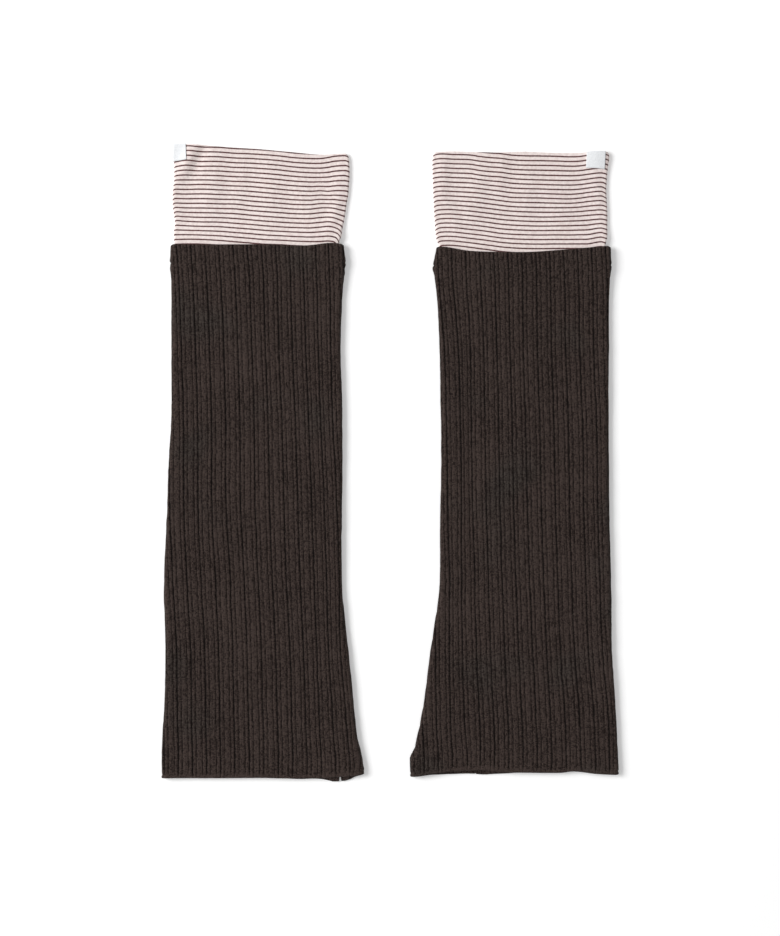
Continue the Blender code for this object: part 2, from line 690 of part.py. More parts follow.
def make_label(leg, material):
    """A small woven label folded over the cuff's upper edge, its points moved out from the cuff's own."""
    tube, edge, side = cuff_tube(leg), leg.cuff_top, leg.label.side
    start, end, left_radius, right_radius = tube.folds(edge)
    fold_place, radius = (start, left_radius) if side < 0 else (end, right_radius)
    flat_width = side * (fold_place - leg.label.edge_x)
    folded_width = (LABEL_WIDTH - flat_width) * radius / (radius + SEAM_GAP + LABEL_WALL / 2)
    width = min(flat_width + folded_width, flat_width + LABEL_MOST_TURN * radius)
    mesh_data = bmesh.new()
    loops = []
    for column in range(LABEL_COLUMNS + 1):
        reached = width * column / LABEL_COLUMNS
        top_place = leg.label.edge_x + side * reached
        shortened, drawn_out = (
            smooth_step(reached, flat_width - begins, flat_width - ends)
            for begins, ends in (LABEL_SHORTENED, LABEL_DRAWN_OUT)
        )
        points = []
        for outward, up in label_profile(shortened, drawn_out):
            y = edge + min(up, 0.0)
            spot = tube.place(y, top_place + leg.label.lean * up)
            moved = cuff_shift(leg, spot.x, y, spot.turn)
            x, z = spot.x + outward * spot.outward_x, spot.z + outward * spot.outward_z
            points.append((x, edge + up + moved, z))
        loops.append(add_points(mesh_data, points))
    for one, other in zip(loops, loops[1:]):
        for index in range(len(one)):
            following = (index + 1) % len(one)
            mesh_data.faces.new((one[index], one[following], other[following], other[index]))
    close_label_side(mesh_data, loops[0])
    close_label_side(mesh_data, loops[-1])
    return new_object(f"label_{leg.name}", material, mesh_data)


def cloth(name, colour, roughness):
    """A plain non-metal finish of one colour."""
    material = bpy.data.materials.new(name)
    material.use_nodes = True
    shader = material.node_tree.nodes["Principled BSDF"]
    shader.inputs["Base Color"].default_value = (*colour, 1.0)
    shader.inputs["Roughness"].default_value = roughness
    shader.inputs["Metallic"].default_value = 0.0
    return material


def clear_scene():
    for obj in list(bpy.data.objects):
        bpy.data.objects.remove(obj)


def main():
    clear_scene()
    rib_knit = cloth("rib_knit", (0.040, 0.031, 0.028), 0.95)
    striped_jersey = cloth("striped_jersey", (0.72, 0.62, 0.60), 0.9)
    label_tape = cloth("label_tape", (0.86, 0.88, 0.90), 0.7)
    for leg in (LEFT, RIGHT):
        make_body(leg, rib_knit)
        make_cuff(leg, striped_jersey)
        make_label(leg, label_tape)


main()
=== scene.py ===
"""A pair of leg warmers laid flat: rib-knit bodies, striped jersey cuffs and small plain woven labels.

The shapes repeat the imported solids' sizes, in millimetres, and add what the solids leave out: finer ribs
with each groove's own course, the stitched hem, soft folds, knit stitches, stripes and weave. X runs across
the pair, Y up the legs and Z up from the floor.
"""

import math
from collections import namedtuple
from functools import partial

import bpy
import numpy as np
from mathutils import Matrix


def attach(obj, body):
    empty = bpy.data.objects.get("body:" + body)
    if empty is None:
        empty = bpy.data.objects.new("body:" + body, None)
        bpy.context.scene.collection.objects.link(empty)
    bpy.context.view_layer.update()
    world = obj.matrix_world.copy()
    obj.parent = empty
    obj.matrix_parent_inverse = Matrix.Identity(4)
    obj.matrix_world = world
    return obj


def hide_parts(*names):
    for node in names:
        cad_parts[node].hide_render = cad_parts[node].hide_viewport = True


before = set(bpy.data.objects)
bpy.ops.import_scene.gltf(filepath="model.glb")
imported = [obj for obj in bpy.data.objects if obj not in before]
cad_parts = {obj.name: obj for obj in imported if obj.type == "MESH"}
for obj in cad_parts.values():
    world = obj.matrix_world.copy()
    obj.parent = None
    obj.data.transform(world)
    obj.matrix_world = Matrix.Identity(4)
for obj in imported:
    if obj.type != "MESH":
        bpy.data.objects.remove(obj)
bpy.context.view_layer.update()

MM = 0.001


def table(kind, *rows):
    """A table's rows, each with the columns of its kind."""
    return tuple(kind(*row) for row in rows)


# ---- Sizes ----

# One repeat of the knit: main groove, narrow rib, fine groove, wide rib, fine groove, narrow rib.
RIB_REPEAT = 10.1
RIB_RISE = 0.95
STITCHES_IN_REPEAT = 10
COURSE = 0.8  # height of one row of stitches
FINE_GROOVE = 0.285  # share of a repeat where the first fine groove lies
RibPoint = namedtuple("RibPoint", "across rise")  # share of a repeat, share of the rise
HALF_RIB = table(
    RibPoint,
    (0.000, 0.00),
    (0.020, 0.16),
    (0.045, 0.58),
    (0.085, 0.86),
    (0.150, 0.94),
    (0.210, 0.84),
    (0.250, 0.60),
    (FINE_GROOVE, 0.36),
    (0.320, 0.62),
    (0.365, 0.90),
    (0.430, 1.00),
    (0.500, 1.00),
)
HALF_RIB_UNDERNEATH = (HALF_RIB[0], HALF_RIB[2], HALF_RIB[4], HALF_RIB[7], HALF_RIB[10], HALF_RIB[11])
OUTLINE_RISE = 0.7 * RIB_RISE  # the ribs stand this far out where the outline is read
PLAIN_RISE = 0.7  # share of the ribs' rise at which the cloth lies where it has no ribs
PRESSED_GROOVE = 0.4  # depth of the grooves in the underside, whose ribs lie flat on the floor
RIB_TURNS_UNDER = (math.radians(95), math.radians(165))
RIBS_RISE_FROM_HEM = (1.2, 4.2)  # the ribs come up between these distances from the lower edge
RIBS_LESS_AT_TOP = 0.4  # share of their rise that they lose at the folded edge
TOP_ROLL = 1.4  # over this length below it
RIBS_LESS_AT_LINE = 0.6  # share of their rise that they lose at the line of the hem's stitches

BODY_SIDE_WALL = 1.7
BODY_FRONT_WALL = 1.5
BODY_BACK_WALL = 1.9
HEM_BACK_WALL = 1.6
HEM_DEPTH = 13.5
HEM_LINE = 0.7  # half width of the line that the hem's stitching presses in
HEM_LINE_DEPTH = 0.5
FOLDED_EDGE = 0.75  # radius of the hem's fold
CUT_EDGE = 0.55  # radius of a bound or cut edge
FOLD_BULGE = 0.5  # the side folds of the body stand this much higher than the panel between them
FOLD_BULGE_WIDTH = 9.0
BELOW_HEM = 20.0  # the panel takes up its own rises over this length below the turned hem
BACK_THICKENS = 16.0  # the back's wall is at its full thickness this far below the hem

# The bound lower edge stands out as a lip below a line pressed in: distances from the edge, and widths.
EDGE_LIP = 0.3
EDGE_LIP_PLACE = (0.9, 0.8)
EDGE_LINE_DEPTH = 0.8  # share of the lip's height
EDGE_LINE_PLACE = (2.6, 0.7)

SEAM_GAP = 0.3
CUFF_WALL = 1.0
CUFF_HOLLOW = 0.4
CUFF_REACH = 12.5  # how far the cuff goes down inside the hem
# Past the body's upper edge the cuff comes down onto the floor, takes up its own rises and flattens.
CUFF_CLEAR = 3.0
CUFF_LANDS = 9.0
CUFF_RISES = 14.0
CUFF_SETTLES = 18.0
CUFF_LIGHTER = 0.1  # the settled cuff is this much thicker than the held one
STRIPE_PITCH = 3.38
STRIPE_WIDTH = 1.04
STRIPE_EDGE = 0.16  # half the width over which a stripe's edge fades
JERSEY_WALE = 0.62
STRIPE_COURSES = 7  # rows of stitches in one repeat of the stripes
STRIPES_LOWER_BEHIND = 0.75  # the stripes are this share of their pitch lower on the back

LABEL_WALL = 0.45
LABEL_GAP = 0.12
LABEL_WIDTH = 13.7
LABEL_DROP = 11.8
LABEL_INSIDE = 3.0
LABEL_LIP = -0.5  # near the side fold the label's inner end only reaches this far in over the cuff's edge
LABEL_ROW_GAP = 0.012  # the rows of that end lie this far apart there
LABEL_MOST_TURN = math.radians(112)
LABEL_FLARE = 0.13  # the label's drop grows by this share across its width
LABEL_FLARE_FROM = 0.4  # share of its width where the drop is as named
LABEL_LOOSE = 1.1  # the label stands this much further off the cuff where it goes round the side fold
LABEL_LOOSE_TURN = math.radians(80)
# Counted back along the label from where the front panel ends, its inner end is shortened, then drawn out.
LABEL_SHORTENED = (4.5, 3.0)
LABEL_DRAWN_OUT = (2.5, 0.5)
LABEL_PICK = 0.34  # spacing of the tape's threads across
LABEL_END = 0.21  # and along

EDGE_STEADY = 14.0  # an edge's waves carry on unchanged this far into the cloth
EDGE_FADE = 60.0
CORNER_FADE = 9.0

NOTCH_SIDE = (0.45, 0.55)  # shares of a notch's width from its middle between which its side rises
NOTCH_PLACES = (-1.2, -0.55, -0.45, 0.0, 0.45, 0.55, 1.2)  # shares of its width where the cloth has points
NOTCH_TURN = 3.1  # only cloth that faces the floor has the notch

Outline = namedtuple("Outline", "y left right")
Grain = namedtuple("Grain", "y groove0 groove1 groove2 groove4 groove6 groove8 groove10")
GROOVES = (0, 1, 2, 4, 6, 8, 10)  # the main grooves whose places across are read
EdgeWave = namedtuple("EdgeWave", "x front back")  # how far the edge of each layer lies above its mean line
Ridge = namedtuple("Ridge", "x y across along lean lift")  # a soft rise, or a trough where lift is below zero
Bulk = namedtuple("Bulk", "below_top floor_wall front")  # thickness of the underside, height of the front
LabelPlace = namedtuple("LabelPlace", "edge_x side lean")  # its inner side, the way it goes and its lean
Stripes = namedtuple("Stripes", "x stripe1 stripe4 stripe8 stripe12 stripe16 stripe20")
STRIPES_READ = (1, 4, 8, 12, 16, 20)
StripeDrop = namedtuple("StripeDrop", "y left left_over right right_over")  # how they turn down at the folds
Notch = namedtuple("Notch", "x width depth")  # a nick in the lower edge of the back layer

BODY_BULK = table(
    Bulk,
    (0.0, HEM_BACK_WALL, 6.1),
    (HEM_DEPTH, HEM_BACK_WALL, 6.1),
    (HEM_DEPTH + 7.0, 1.8, 4.9),
    (HEM_DEPTH + BACK_THICKENS, BODY_BACK_WALL, 4.3),
    (HEM_DEPTH + 90.0, BODY_BACK_WALL, 4.2),
)

Leg = namedtuple(
    "Leg",
    "name hem top outline grain first_repeat last_repeat repeats hem_waves top_waves ridges notch"
    " corner_radii cuff_top cuff_outline cuff_waves cuff_ridges stripes stripe_drops label",
)

LEFT = Leg(
    name="left",
    hem=-227.8,
    top=156.2,
    outline=table(
        Outline,
        (-227.8, -164.5, -19.2),
        (-225, -164.4, -18.6),
        (-221, -164.4, -19.1),
        (-216.7, -164.5, -19.8),
        (-211.3, -164.4, -20.9),
        (-200.5, -164.1, -23.4),
        (-178.9, -162.8, -25.8),
        (-157.3, -162.1, -27.9),
        (-135.7, -161.6, -30.3),
        (-114.1, -162.2, -32.5),
        (-92.5, -163, -34.4),
        (-49.3, -161.2, -34.9),
        (-6.1, -159.6, -34.5),
        (37.1, -157.4, -34.4),
        (80.3, -157.4, -35.6),
        (112.7, -157.6, -34.8),
        (132, -157.5, -33.2),
        (136.2, -157.9, -32.5),
        (138.4, -158.5, -32.9),
        (141.6, -158.3, -31.8),
        (144.2, -158.6, -31.9),
        (149, -158.1, -32.8),
        (156.2, -158, -33.5),
    ),
    grain=table(
        Grain,
        (-214.9, -131.8, -121.7, -111.5, -90.5, -69.6, -49, -28.8),
        (-189.7, -132.4, -122.3, -112.2, -91.2, -70.3, -50.4, -31),
        (-135.7, -133.2, -123.2, -113, -92.6, -71.8, -52.5, -35.3),
        (-81.7, -136.1, -125.7, -115.1, -94.8, -74.6, -54.6, -36.7),
        (-27.7, -138.2, -128.2, -118, -97, -76, -56.1, -38.2),
        (26.3, -138.2, -128.2, -118, -97.6, -77.5, -58.2, -41.1),
        (80.3, -139.7, -129.6, -119.4, -99.1, -79.6, -60.5, -42.5),
        (134.3, -141.8, -131.8, -121.6, -101.2, -81.1, -61.9, -43.2),
        (156, -143.4, -133.2, -123, -102.5, -82.2, -62.6, -43.9),
    ),
    first_repeat=-4,
    last_repeat=12,
    repeats=26,
    hem_waves=table(
        EdgeWave,
        (-164, -0.3, -0.3),
        (-150, -0.15, -0.15),
        (-122, -0.2, -0.2),
        (-92, 0, 0),
        (-80, -0.3, -0.4),
        (-66, -0.4, -1.2),
        (-56, -0.1, -0.9),
        (-50, -0.1, -1.1),
        (-45, 0.1, -2),
        (-41, 0.3, -3),
        (-36, 0.7, -2.7),
        (-32, 0.9, -2.3),
        (-28.5, 1.2, -1.2),
        (-25.5, 1.5, 0.4),
        (-20, 2.4, 2),
    ),
    top_waves=table(
        EdgeWave,
        (-156, 0.2, 0.2),
        (-126, 0, -0.1),
        (-86, 0, 0.1),
        (-61, -0.8, -0.6),
        (-43, 1.1, 0.9),
        (-35, 0.4, 0.4),
    ),
    ridges=table(
        Ridge,
        (-139, 35, 5, 60, -0.02, -0.4),
        (-150, -20, 6, 90, -0.02, 0.5),
        (-98, 60, 16, 80, -0.03, 0.5),
        (-62, -40, 14, 90, -0.03, 0.4),
        (-96, -150, 18, 50, -0.05, 0.6),
        (-42, -185, 9, 40, -0.14, 0.6),
    ),
    notch=Notch(-35.8, 1.4, 3.7),
    corner_radii=(2.7, 2.1),
    cuff_top=225.0,
    cuff_outline=table(
        Outline,
        (142, -155.1, -36.8),
        (157, -155.3, -36.7),
        (162, -155.8, -35),
        (166.5, -155.7, -34.4),
        (171, -155.2, -33.5),
        (177, -155.8, -32.5),
        (182, -156.6, -31.8),
        (187, -156.8, -31.2),
        (194, -156.5, -30.1),
        (200, -155.7, -29.7),
        (208.4, -155.6, -29.2),
        (217, -156, -29.3),
        (222.5, -155.9, -29.9),
        (225, -155.6, -31.4),
    ),
    cuff_waves=table(
        EdgeWave,
        (-155, 3.4, 3.2),
        (-142, 3.6, 3.4),
        (-120, 1.8, 1.6),
        (-94, 0.1, -0.2),
        (-80, -1.2, -1.5),
        (-72, -1.9, -2.2),
        (-62, -2.9, -3.2),
        (-54, -3.6, -3.9),
        (-46, -3.7, -4),
        (-40, -3.3, -3.6),
        (-32, -2.9, -3.1),
    ),
    cuff_ridges=table(
        Ridge,
        (-150, 224, 13, 11, 0, 0.4),
        (-145.4, 214, 5.6, 15, 0.38, 1.95),
        (-137.3, 214, 4, 14, 0.40, -1),
        (-130, 207, 11, 22, 0.10, 0.9),
        (-155.5, 190, 4, 14, 0, 0.5),
        (-152, 178, 4, 9, 0.3, 0.5),
        (-128, 190, 8, 26, 0.15, 0.6),
        (-108, 198, 6, 22, 0.15, 0.5),
        (-86, 200, 9, 30, 0, 0.8),
        (-60, 186, 9, 24, -0.2, 0.7),
        (-40, 178, 4.5, 16, 0.25, 1),
        (-36, 205, 6, 20, 0.2, 0.8),
    ),
    stripes=table(
        Stripes,
        (-154.1, 223.2, 212.5, 199.5, 186.2, 173.7, 159.8),
        (-146.9, 224, 213.3, 199.4, 186, 173.1, 160),
        (-136.8, 223.3, 212.7, 199.6, 186, 172.6, 159.9),
        (-122.4, 222.9, 212.6, 199, 185.6, 172.4, 159.1),
        (-111.6, 222.1, 211.9, 198.5, 185.5, 171.6, 158.2),
        (-100.8, 221.7, 211.6, 198.1, 184.3, 170.8, 157.3),
        (-90, 221, 210.9, 197.1, 183.4, 169.8, 156.4),
        (-79.2, 220.1, 210, 196.1, 182.7, 169, 156.1),
        (-68.4, 218.9, 208.8, 195.2, 181.9, 168.5, 155.4),
        (-57.6, 218.3, 208.1, 194.7, 181.8, 168.2, 155),
        (-50.4, 218.3, 208, 195.1, 182.7, 168.8, 154.9),
        (-44.6, 219.1, 208.4, 194.7, 182.8, 169.3, 155.2),
        (-40.5, 219.9, 209.1, 195, 182.4, 168.7, 154.7),
        (-36, 220.3, 209.5, 195.1, 181.3, 166.7, 152.9),
        (-32, 220.4, 209.6, 195, 180.5, 164.2, 150.2),
    ),
    stripe_drops=table(
        StripeDrop,
        (160, 0.4, 1.6, 2.6, 4.6),
        (166, 0.4, 1.8, 1.4, 4),
        (172, 0.7, 2, 0.3, 3),
        (178, 1.4, 3, 0, 3),
        (186, 1.3, 2.6, 0, 3),
        (193, 1, 2.4, 0.5, 3.4),
        (200, 0.6, 2.2, 0.4, 3.6),
        (206, 0.9, 2.6, 0.9, 3.6),
        (212, 1, 2.6, 1, 3.2),
        (217, 1, 2.4, 1.3, 3.7),
    ),
    label=LabelPlace(edge_x=-147.1, side=-1, lean=-0.045),
)

RIGHT = Leg(
    name="right",
    hem=-226.0,
    top=153.0,
    outline=table(
        Outline,
        (-226, 14.9, 164.6),
        (-222, 14.7, 164.9),
        (-216, 14.4, 164.5),
        (-211.8, 14.4, 164.2),
        (-209.4, 15.4, 164.1),
        (-206.4, 17.4, 164),
        (-200.5, 19.1, 163.6),
        (-178.9, 23.6, 162.3),
        (-157.3, 26.7, 161.2),
        (-135.7, 29.5, 159.9),
        (-114.1, 32.6, 159.6),
        (-92.5, 35.6, 159.3),
        (-49.3, 36.2, 158.2),
        (-6.1, 37, 157.7),
        (37.1, 36.8, 157.4),
        (80.3, 35.9, 157.6),
        (112.7, 34.4, 157.6),
        (129, 32.6, 158.4),
        (133.5, 32.1, 159),
        (137, 31, 159.4),
        (140, 31.3, 159.5),
        (145, 32.2, 159),
        (153, 33.6, 158.8),
    ),
    grain=table(
        Grain,
        (-214.9, 45.1, 55.9, 65.3, 85.8, 106.3, 127.2, 148.1),
        (-189.7, 43.8, 53.8, 64.6, 85.1, 105.6, 126.5, 147.4),
        (-135.7, 43, 52.3, 62.4, 82.5, 102.8, 122.9, 143.1),
        (-81.7, 43, 51.6, 61, 80.8, 100.6, 120.7, 140.9),
        (-27.7, 41.5, 51.6, 59.5, 79.3, 99.1, 119.3, 139.5),
        (26.3, 40.8, 50.9, 58.8, 78.3, 97.8, 118.2, 138.7),
        (80.3, 39.4, 49.5, 58.1, 77.2, 96.3, 116.4, 136.6),
        (134.3, 35.1, 45.1, 55.2, 75.5, 95.5, 115.7, 135.9),
        (152, 34.4, 44.4, 54.5, 74.8, 94.8, 114.7, 134.9),
    ),
    first_repeat=-4,
    last_repeat=13,
    repeats=27,
    hem_waves=table(
        EdgeWave,
        (15, -1.1, -1.2),
        (20, -0.8, -0.9),
        (24.5, -0.2, -0.5),
        (29, 0.5, 0),
        (34, 1.6, 0.2),
        (40, 2.4, 0.5),
        (47, 2.9, 0.7),
        (54, 3.2, 1),
        (60, 3.5, 0.9),
        (64, 3.7, 0.5),
        (68, 3.6, 0.3),
        (73, 3.1, 0.6),
        (79, 2.6, 0.9),
        (86, 2, 1.2),
        (93, 2, 1.7),
        (110, 1.8, 1.8),
        (123, 1.9, 1.9),
        (131, 2.8, 2.8),
        (137, 2.5, 2.5),
        (146, 1.3, 1.3),
        (154, 0.7, 0.7),
        (163, 0.4, 0.4),
    ),
    top_waves=table(
        EdgeWave,
        (34, 1.7, 1.6),
        (40, 1.4, 1.2),
        (57, -1.4, -1.6),
        (80, -2.2, -2.3),
        (101, -2.2, -2.2),
        (122, -0.8, -1),
        (140, 0.7, 0.5),
        (156, 2.1, 2),
    ),
    ridges=table(
        Ridge,
        (58, 0, 5, 95, -0.02, -0.4),
        (47, -10, 6, 90, -0.03, 0.6),
        (105, 50, 18, 90, -0.03, 0.5),
        (140, -40, 12, 90, -0.03, 0.4),
        (95, -150, 20, 50, -0.05, 0.6),
        (36, -185, 9, 40, 0.16, 0.6),
    ),
    notch=Notch(61.5, 0.8, 0.5),
    corner_radii=(1.8, 2.4),
    cuff_top=222.8,
    cuff_outline=table(
        Outline,
        (139, 35.5, 155),
        (154.4, 35.2, 155.3),
        (156.6, 34.1, 155.8),
        (160, 33.1, 156.6),
        (170, 32.3, 156.7),
        (178.2, 31.8, 156.7),
        (186.8, 31.4, 156.3),
        (195.5, 31.1, 156),
        (204, 30.7, 156.5),
        (213, 30.6, 157.3),
        (218, 30.6, 158),
        (221, 31.2, 157.9),
        (222.8, 32.4, 157.1),
    ),
    cuff_waves=table(
        EdgeWave,
        (32, 0.2, 0),
        (45, 0.7, 0.4),
        (66, 0.2, -0.2),
        (78, -0.1, -0.5),
        (88, 0.4, -0.1),
        (96, 0.5, 0),
        (110, 0, -0.4),
        (133, -0.5, -0.8),
        (151, 0.5, 0.3),
        (157, 0.3, 0.1),
    ),
    cuff_ridges=table(
        Ridge,
        (149, 221, 13, 11, 0, 1.5),
        (38, 205, 5, 22, 0.05, 0.9),
        (45, 176, 5, 14, -0.35, 0.7),
        (62, 192, 8, 26, 0.25, 0.8),
        (80, 208, 5, 20, 0.1, 0.7),
        (98, 196, 8, 24, 0.1, 0.6),
        (122, 182, 10, 22, -0.15, 0.7),
        (150, 190, 6, 24, -0.1, 0.9),
    ),
    stripes=table(
        Stripes,
        (31.7, 217.7, 207.8, 194.3, 180.8, 167.1, 154.1),
        (36.7, 218.2, 208.3, 194.8, 181.4, 168.4, 155.4),
        (44.6, 217.9, 208, 194.6, 181.5, 168.5, 155.6),
        (57.6, 217.5, 207.5, 193.9, 180.4, 167.2, 154.2),
        (64.8, 216.4, 206.3, 193.3, 179.6, 166.5, 153.2),
        (72, 215.6, 205.5, 192.4, 178.8, 165.5, 152.3),
        (79.2, 215.1, 205, 191.4, 177.9, 164.4, 151.3),
        (87.8, 214, 203.9, 190.3, 177.1, 163.7, 150.5),
        (97.2, 213.5, 203.2, 190, 176.5, 163.3, 150),
        (108, 213.4, 202.9, 189.9, 176.2, 163.1, 149.9),
        (118.8, 213.2, 202.6, 189.4, 176.2, 163.2, 150),
        (129.6, 212.8, 202.5, 189.2, 176.6, 163.1, 150.1),
        (136.8, 213, 202.8, 189.8, 176.9, 163.3, 150),
        (142.6, 213.8, 203.5, 190.6, 177.4, 163.4, 150),
        (151.2, 214.7, 204.5, 191.3, 177.9, 164.9, 151.4),
        (154.8, 214.4, 204.2, 190.8, 177.7, 164.4, 151.3),
    ),
    stripe_drops=table(
        StripeDrop,
        (160, 1, 3.4, 0.8, 4.2),
        (166, 1, 3.4, 0.8, 4.8),
        (172, 1, 3.2, 0.7, 4.4),
        (178, 1, 3, 0.8, 3.4),
        (186, 1, 3, 1.2, 3.4),
        (196, 0.7, 2.4, 1.4, 3.8),
        (205, 0.6, 2.2, 1, 3.2),
        (217, 0.8, 3, 1.2, 3.4),
    ),
    label=LabelPlace(edge_x=141.7, side=1, lean=0.05),
)

# ---- Curves, unevenness and the flat tube ----


def smooth_step(value, start, end):
    """0 at start and before it, 1 at end and past it, and a soft curve between."""
    share = np.clip((value - start) / (end - start), 0.0, 1.0)
    return share * share * (3 - 2 * share)


def sides(outline, y):
    """The two sides of an outline at a height."""
    return read(outline, "left", y), read(outline, "right", y)


def hump(value, centre, width):
    """1 at the centre, dying away softly to both sides."""
    return np.exp(-(((value - centre) / width) ** 2))


def read(rows, column, at):
    """A column of a table at any places along its first column, on a smooth curve through the rows."""
    places = np.array([row[0] for row in rows])
    values = np.array([getattr(row, column) for row in rows])
    index = np.arange(len(rows))
    before, after = np.maximum(index - 1, 0), np.minimum(index + 1, len(rows) - 1)
    slopes = (values[after] - values[before]) / (places[after] - places[before])
    at = np.clip(at, places[0], places[-1])
    low = np.clip(np.searchsorted(places, at, side="right") - 1, 0, len(rows) - 2)
    span = places[low + 1] - places[low]
    share = (at - places[low]) / span
    pull = span * share * (1 - share) * (slopes[low] * (1 - share) - slopes[low + 1] * share)
    return values[low] + (values[low + 1] - values[low]) * smooth_step(share, 0, 1) + pull


LUMPS = 96  # size of the field of random lumps, in lumps
Lumps = namedtuple("Lumps", "seed height to_repeat length")  # so many to a repeat of the ribs, each so long
RIB_SWELL = Lumps(seed=11, height=0.13, to_repeat=2, length=9.0)  # as a share of the ribs' rise
YARN_LUMPS = Lumps(seed=12, height=0.13, to_repeat=3, length=3.6)
RIB_WANDER = Lumps(seed=13, height=0.22, to_repeat=0.5, length=17.0)  # across the leg


def unevenness(seed, across, along, around=LUMPS):
    """Smooth random lumps between -1 and 1, one to a unit each way, closed after around units across."""
    lumps = np.random.default_rng(seed).uniform(-1, 1, (LUMPS, LUMPS))
    column, row = np.floor(across).astype(int), np.floor(along).astype(int)
    right, up = smooth_step(across - column, 0, 1), smooth_step(along - row, 0, 1)
    total = 0.0
    for step_up, share_up in ((0, 1 - up), (1, up)):
        for step_right, share_right in ((0, 1 - right), (1, right)):
            lump = lumps[(row + step_up) % LUMPS, (column + step_right) % around]
            total = total + share_up * share_right * lump
    return total


def knit_unevenness(leg, lumps, wales, y):
    """Unevenness that follows the ribs and closes round the body."""
    around = int(leg.repeats * lumps.to_repeat)
    return lumps.height * unevenness(lumps.seed, wales * lumps.to_repeat, y / lumps.length, around)


def ridge_height(ridges, x, y):
    """The height that all the soft rises and troughs of a panel add at a place."""
    total = 0.0
    for ridge in ridges:
        across = (x - ridge.x - ridge.lean * (y - ridge.y)) / ridge.across
        along = (y - ridge.y) / ridge.along
        total = total + ridge.lift * np.exp(-(across**2) - along**2)
    return total


# Places on a tube: how far the cloth has turned there from facing up, and the direction it faces.
Spot = namedtuple("Spot", "x z outward_x outward_z turn")


def stand_off(spot, outward):
    """The X and Z of places that stand off the cloth by a distance."""
    return spot.x + outward * spot.outward_x, spot.z + outward * spot.outward_z


class FlatTube:
    """A tube of cloth pressed flat: its underside, its front panel and the round folds at its two sides.

    A place round the tube is given by its unrolled distance. On the front panel that distance is X itself,
    and it carries on round the folds and along the underside at the same rate.
    """

    def __init__(self, left, right, floor, front):
        self.left, self.right, self.floor, self.front = left, right, floor, front

    def inside(self, side_wall, back_wall, front_wall):
        """The hollow of this tube, as another flat tube."""
        return FlatTube(
            lambda y: self.left(y) + side_wall,
            lambda y: self.right(y) - side_wall,
            lambda y: self.floor(y) + back_wall(y),
            lambda x, y: self.front(x, y) - front_wall,
        )

    def fold_radius(self, y, edge, inward):
        radius = 2.0
        for _ in range(6):
            radius = (self.front(edge + inward * radius, y) - self.floor(y)) / 2
        return radius

    def folds(self, y):
        """Where the front panel ends at each side, and the two radii it turns down with."""
        left, right = self.left(y), self.right(y)
        left_radius, right_radius = self.fold_radius(y, left, 1), self.fold_radius(y, right, -1)
        return left + left_radius, right - right_radius, left_radius, right_radius

    def perimeter(self, y):
        start, end, left_radius, right_radius = self.folds(y)
        return 2 * (end - start) + math.pi * (left_radius + right_radius)

    def place(self, y, unrolled):
        start, end, left_radius, right_radius = self.folds(y)
        middle = (self.left(y) + self.right(y)) / 2
        perimeter = self.perimeter(y)
        unrolled = np.where(unrolled > middle + perimeter / 2, unrolled - perimeter, unrolled)
        on_left = unrolled < middle
        side = np.where(on_left, -1.0, 1.0)
        centre = np.where(on_left, start, end)
        radius = np.where(on_left, left_radius, right_radius)
        past = side * (unrolled - centre)
        turn = np.clip(past / radius, 0, math.pi)
        under = np.maximum(past - math.pi * radius, 0)
        x = centre + side * (np.minimum(past, 0) + radius * np.sin(turn) - under)
        z = np.where(past <= 0, self.front(x, y), self.floor(y) + radius * (1 + np.cos(turn)))
        return Spot(x, z, side * np.sin(turn), np.cos(turn), turn)

    def even_places(self, y, around):
        """Unrolled distances spread evenly over the front, round each fold and under the tube."""
        start, end, _, right_radius = self.folds(y)
        right_turn = math.pi * right_radius
        stretches = (
            (start, end, around.front),
            (end, end + right_turn, around.fold),
            (end + right_turn, end + right_turn + end - start, around.underside),
            (end + right_turn + end - start, self.perimeter(y) + start, around.fold),
        )
        parts = [low + (high - low) * np.arange(count) / count for low, high, count in stretches]
        return np.concatenate(parts, axis=1)

    def underneath(self, y, x):
        """Unrolled distances of places on the underside, by their X."""
        _, end, _, right_radius = self.folds(y)
        return end + math.pi * right_radius + end - x


Around = namedtuple("Around", "front fold underside")  # points in a ring
Sleeve = namedtuple("Sleeve", "numbers points turn")  # rings of points, and how far the cloth has turned
HOLLOW_ROUNDED = 0.8  # at a folded edge the hollow opens by this share of the edge's radius


def edge_shift(waves, x, turn, distance):
    """How far a point moves along Y to follow its edge's waves, by its distance from that edge."""
    underside = smooth_step(turn, 0, math.pi)
    wave = read(waves, "front", x) * (1 - underside) + read(waves, "back", x) * underside
    return wave * (1 - smooth_step(distance, EDGE_STEADY, EDGE_FADE))


def corner_drop(distance, radius):
    """How far a rounded corner lies below its edge, by distance from the side."""
    past = np.clip(1 - distance / radius, 0, 1)
    return radius * (1 - np.sqrt(1 - past**2))


def body_shift(leg, x, y, turn):
    """The waves of the body's two edges, the dips at the upper edge's corners and the back layer's notch."""
    shift = edge_shift(leg.hem_waves, x, turn, y - leg.hem) + edge_shift(leg.top_waves, x, turn, leg.top - y)
    left, right = sides(leg.outline, y)
    drop = corner_drop(x - left, leg.corner_radii[0]) + corner_drop(right - x, leg.corner_radii[1])
    shift = shift - drop * (1 - smooth_step(leg.top - y, 0, CORNER_FADE))
    in_notch = 1 - smooth_step(abs(x - leg.notch.x) / leg.notch.width, *NOTCH_SIDE)
    near_edge = 1 - smooth_step(y - leg.hem, 0, leg.notch.depth * 2)
    return shift + leg.notch.depth * in_notch * near_edge * (turn > NOTCH_TURN)


def cuff_shift(leg, x, y, turn):
    """The cuff's lower end follows the hem that holds it, and its upper edge has waves of its own."""
    held = edge_shift(leg.top_waves, x, turn, abs(y - leg.top))
    return held + edge_shift(leg.cuff_waves, x, turn, abs(leg.cuff_top - y))


# ---- Meshes ----


